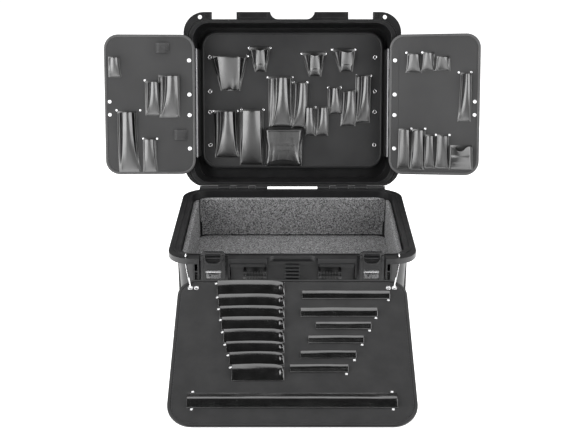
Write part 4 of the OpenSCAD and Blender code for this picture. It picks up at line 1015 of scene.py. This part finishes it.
grommetRow = {"places": (-204, -192, 192, 204), "in": 22, "stand": 0.35}
grommetForm = {"Radius": 4.35, "Roll": 0.85, "Depth": 4.4}
treePiece("grommet_rings", [(x, -grommetRow["in"], grommetRow["stand"]) for x in grommetRow["places"]], [],
          eyeletTree, grommetForm, "nickel", frontFace, "front_pallet", ["front_grommets"])
print("rivets and grommets made")


# Wire hooks: from the ear of the rim down to the front pallet and as a staple through two grommets
hookWire = {"radius": 1.6, "bend": 4.5, "ear": (221, -199), "top": 169.5, "under": 150.5, "tail": 4,
            "grommet": 204, "lead": 4.4, "leadOut": 3, "leadUp": 7.5, "pitch": 12, "staple": 6, "middle": 2}


def hookRoute(p, side):
    inset, mid = grommetRow["in"], p["middle"]
    y = boards["frontY"] - inset * math.cos(frontTilt) - mid * math.sin(frontTilt)
    z = boards["frontTop"] - inset * math.sin(frontTilt) + mid * math.cos(frontTilt)
    x, back = p["ear"]
    far, near = p["grommet"], p["grommet"] - p["pitch"]
    route = [(x, back + p["tail"], p["top"]), (x, back, p["top"]), (x, back, p["under"]),
             (far + p["lead"], boards["frontY"] - p["leadOut"], boards["frontTop"] + p["leadUp"]),
             (far, y, z + p["staple"]), (far, y, z - p["staple"]), (near, y, z - p["staple"]),
             (near, y, z + p["staple"])]
    return [(side * a, b, c) for a, b, c in route]


for side, body in ((-1, "left_hook"), (1, "right_hook")):
    route = hookRoute(hookWire, side)
    treePiece(body + "_wire", route, [(i, i + 1) for i in range(len(route) - 1)], wireTree,
              {"Radius": hookWire["radius"], "Bend": hookWire["bend"]}, "wire", Matrix.Identity(4),
              body, [body])
print("hooks made")


# Foam lining: each packed sheet is remeshed, sunk a little and dented
foamForm = {"voxel": 4.0, "sink": 0.5, "dent": 0.9, "dentSize": 45, "cell": 0.35, "cellSize": 6}
for nodeName in ("foam_floor", "foam_rear", "foam_front", "foam_left", "foam_right"):
    mesh = nodes[nodeName].data.copy()
    working = merged(mesh)
    working.to_mesh(mesh)
    working.free()
    work = addObject(nodeName + "_cut", mesh)
    work.matrix_world = nodes[nodeName].matrix_world
    remesh = work.modifiers.new("remesh", "REMESH")
    remesh.mode, remesh.voxel_size = "VOXEL", foamForm["voxel"] * mm
    applyModifiers(work)
    mesh = work.data
    for vertex, normal in zip(mesh.vertices, [v.normal.copy() for v in mesh.vertices]):
        p = vertex.co / mm
        dent, cell = [0.5 + 0.5 * noise.noise(p / foamForm[size]) for size in ("dentSize", "cellSize")]
        vertex.co -= normal * mm * (foamForm["sink"] + foamForm["dent"] * dent + foamForm["cell"] * cell)
    dressSmooth(mesh, "foam")
    finishPiece(work, "base", [nodeName])
print("foam made")


# Webbing loops: left and low edge, width and height of each
webbingForm = {"loops": ((-91, 326, 22, 23), (-50, 119, 22, 24)), "rise": 7.92, "ramp": 3.4, "from": 0.3,
               "thick": 1.1, "tail": 5, "sag": 0.5, "steps": 24}


def webbingLoop(p, x, y, w, h):
    rings = []
    for i in range(p["steps"] + 1):
        t = i / p["steps"]
        across = x + mix(-p["tail"], w + p["tail"], t)
        lift = p["rise"] * smooth(min(t, 1 - t) * p["ramp"]) + p["from"]
        sag = p["sag"] * math.sin(t * math.pi)
        rings.append([(across, y + a * h, lift + c * p["thick"] + sag * (0.5 - abs(a - 0.5)))
                      for a, c in ((0, 0), (1, 0), (1, 1), (0.5, 1), (0, 1))])
    return loft(rings)


makePiece("webbing_straps", joined([webbingLoop(webbingForm, *loop) for loop in webbingForm["loops"]]),
          leftFace, "tape", "left_wing", ["left_wing_webbing"])
print("webbing made")


# Studio
studio = {"floorSize": 24000, "floorTone": 0.86, "floorRough": 0.9, "floorSpecular": 0.2, "worldTone": 0.04,
          "floorLift": 0.85, "floorGlow": 1.7,
          # place, aim and size in metres, and watts
          "lights": {"overhead": ((0, 0.75, 2.6), (0, 0.6, 0), (4.5, 3.0), 88),
                     "left": ((-1.9, -1.1, 0.8), (0, 0.1, 0.35), (2.4, 2.4), 92),
                     "right": ((1.9, -1.1, 0.8), (0, 0.1, 0.35), (2.2, 2.4), 70)}}


def areaLight(name, place, aim, size, power):
    data = bpy.data.lights.new(name, "AREA")
    data.shape, data.energy = "RECTANGLE", power
    data.size, data.size_y = size
    lamp = addObject(name, data)
    lamp.location = place
    lamp.rotation_euler = (Vector(aim) - Vector(place)).to_track_quat("-Z", "Y").to_euler()


def makeStudio(p):
    for name, light in p["lights"].items():
        areaLight(name + "Light", *light)
    world = bpy.data.worlds.new("studioWorld")
    scene.world = world
    world.use_nodes = True
    tree = world.node_tree
    rays = addNode(tree, "ShaderNodeLightPath").outputs
    seen = mathNode(tree, "MAXIMUM", rays["Is Camera Ray"], rays["Is Transmission Ray"])
    fill(tree, tree.nodes["Background"], {
        "Color": (1, 1, 1, 1), "Strength": rampNode(tree, seen, 0, 1, p["worldTone"], 1.0)})
    half = p["floorSize"] / 2
    corners = [(-half, -half, 0), (half, -half, 0), (half, half, 0), (-half, half, 0)]
    mesh = newMesh("floor", corners, [(0, 1, 2, 3)])
    floor = addObject("floor", mesh)
    material, tree, shader, place = startMaterial("paleFloor", {
        "Base Color": (*grey(p["floorTone"], 0), 1), "Roughness": p["floorRough"],
        "Specular IOR Level": p["floorSpecular"], "Emission Color": (1, 1, 1, 1)})
    rays = addNode(tree, "ShaderNodeLightPath").outputs
    glow = mathNode(tree, "ADD", product(tree, rays["Is Camera Ray"], p["floorLift"]),
                    product(tree, rays["Is Glossy Ray"], p["floorGlow"]))
    fill(tree, shader, {"Emission Strength": glow})
    mesh.materials.append(material)
    scene.view_settings.view_transform = "Standard"


makeStudio(studio)
print("studio made")
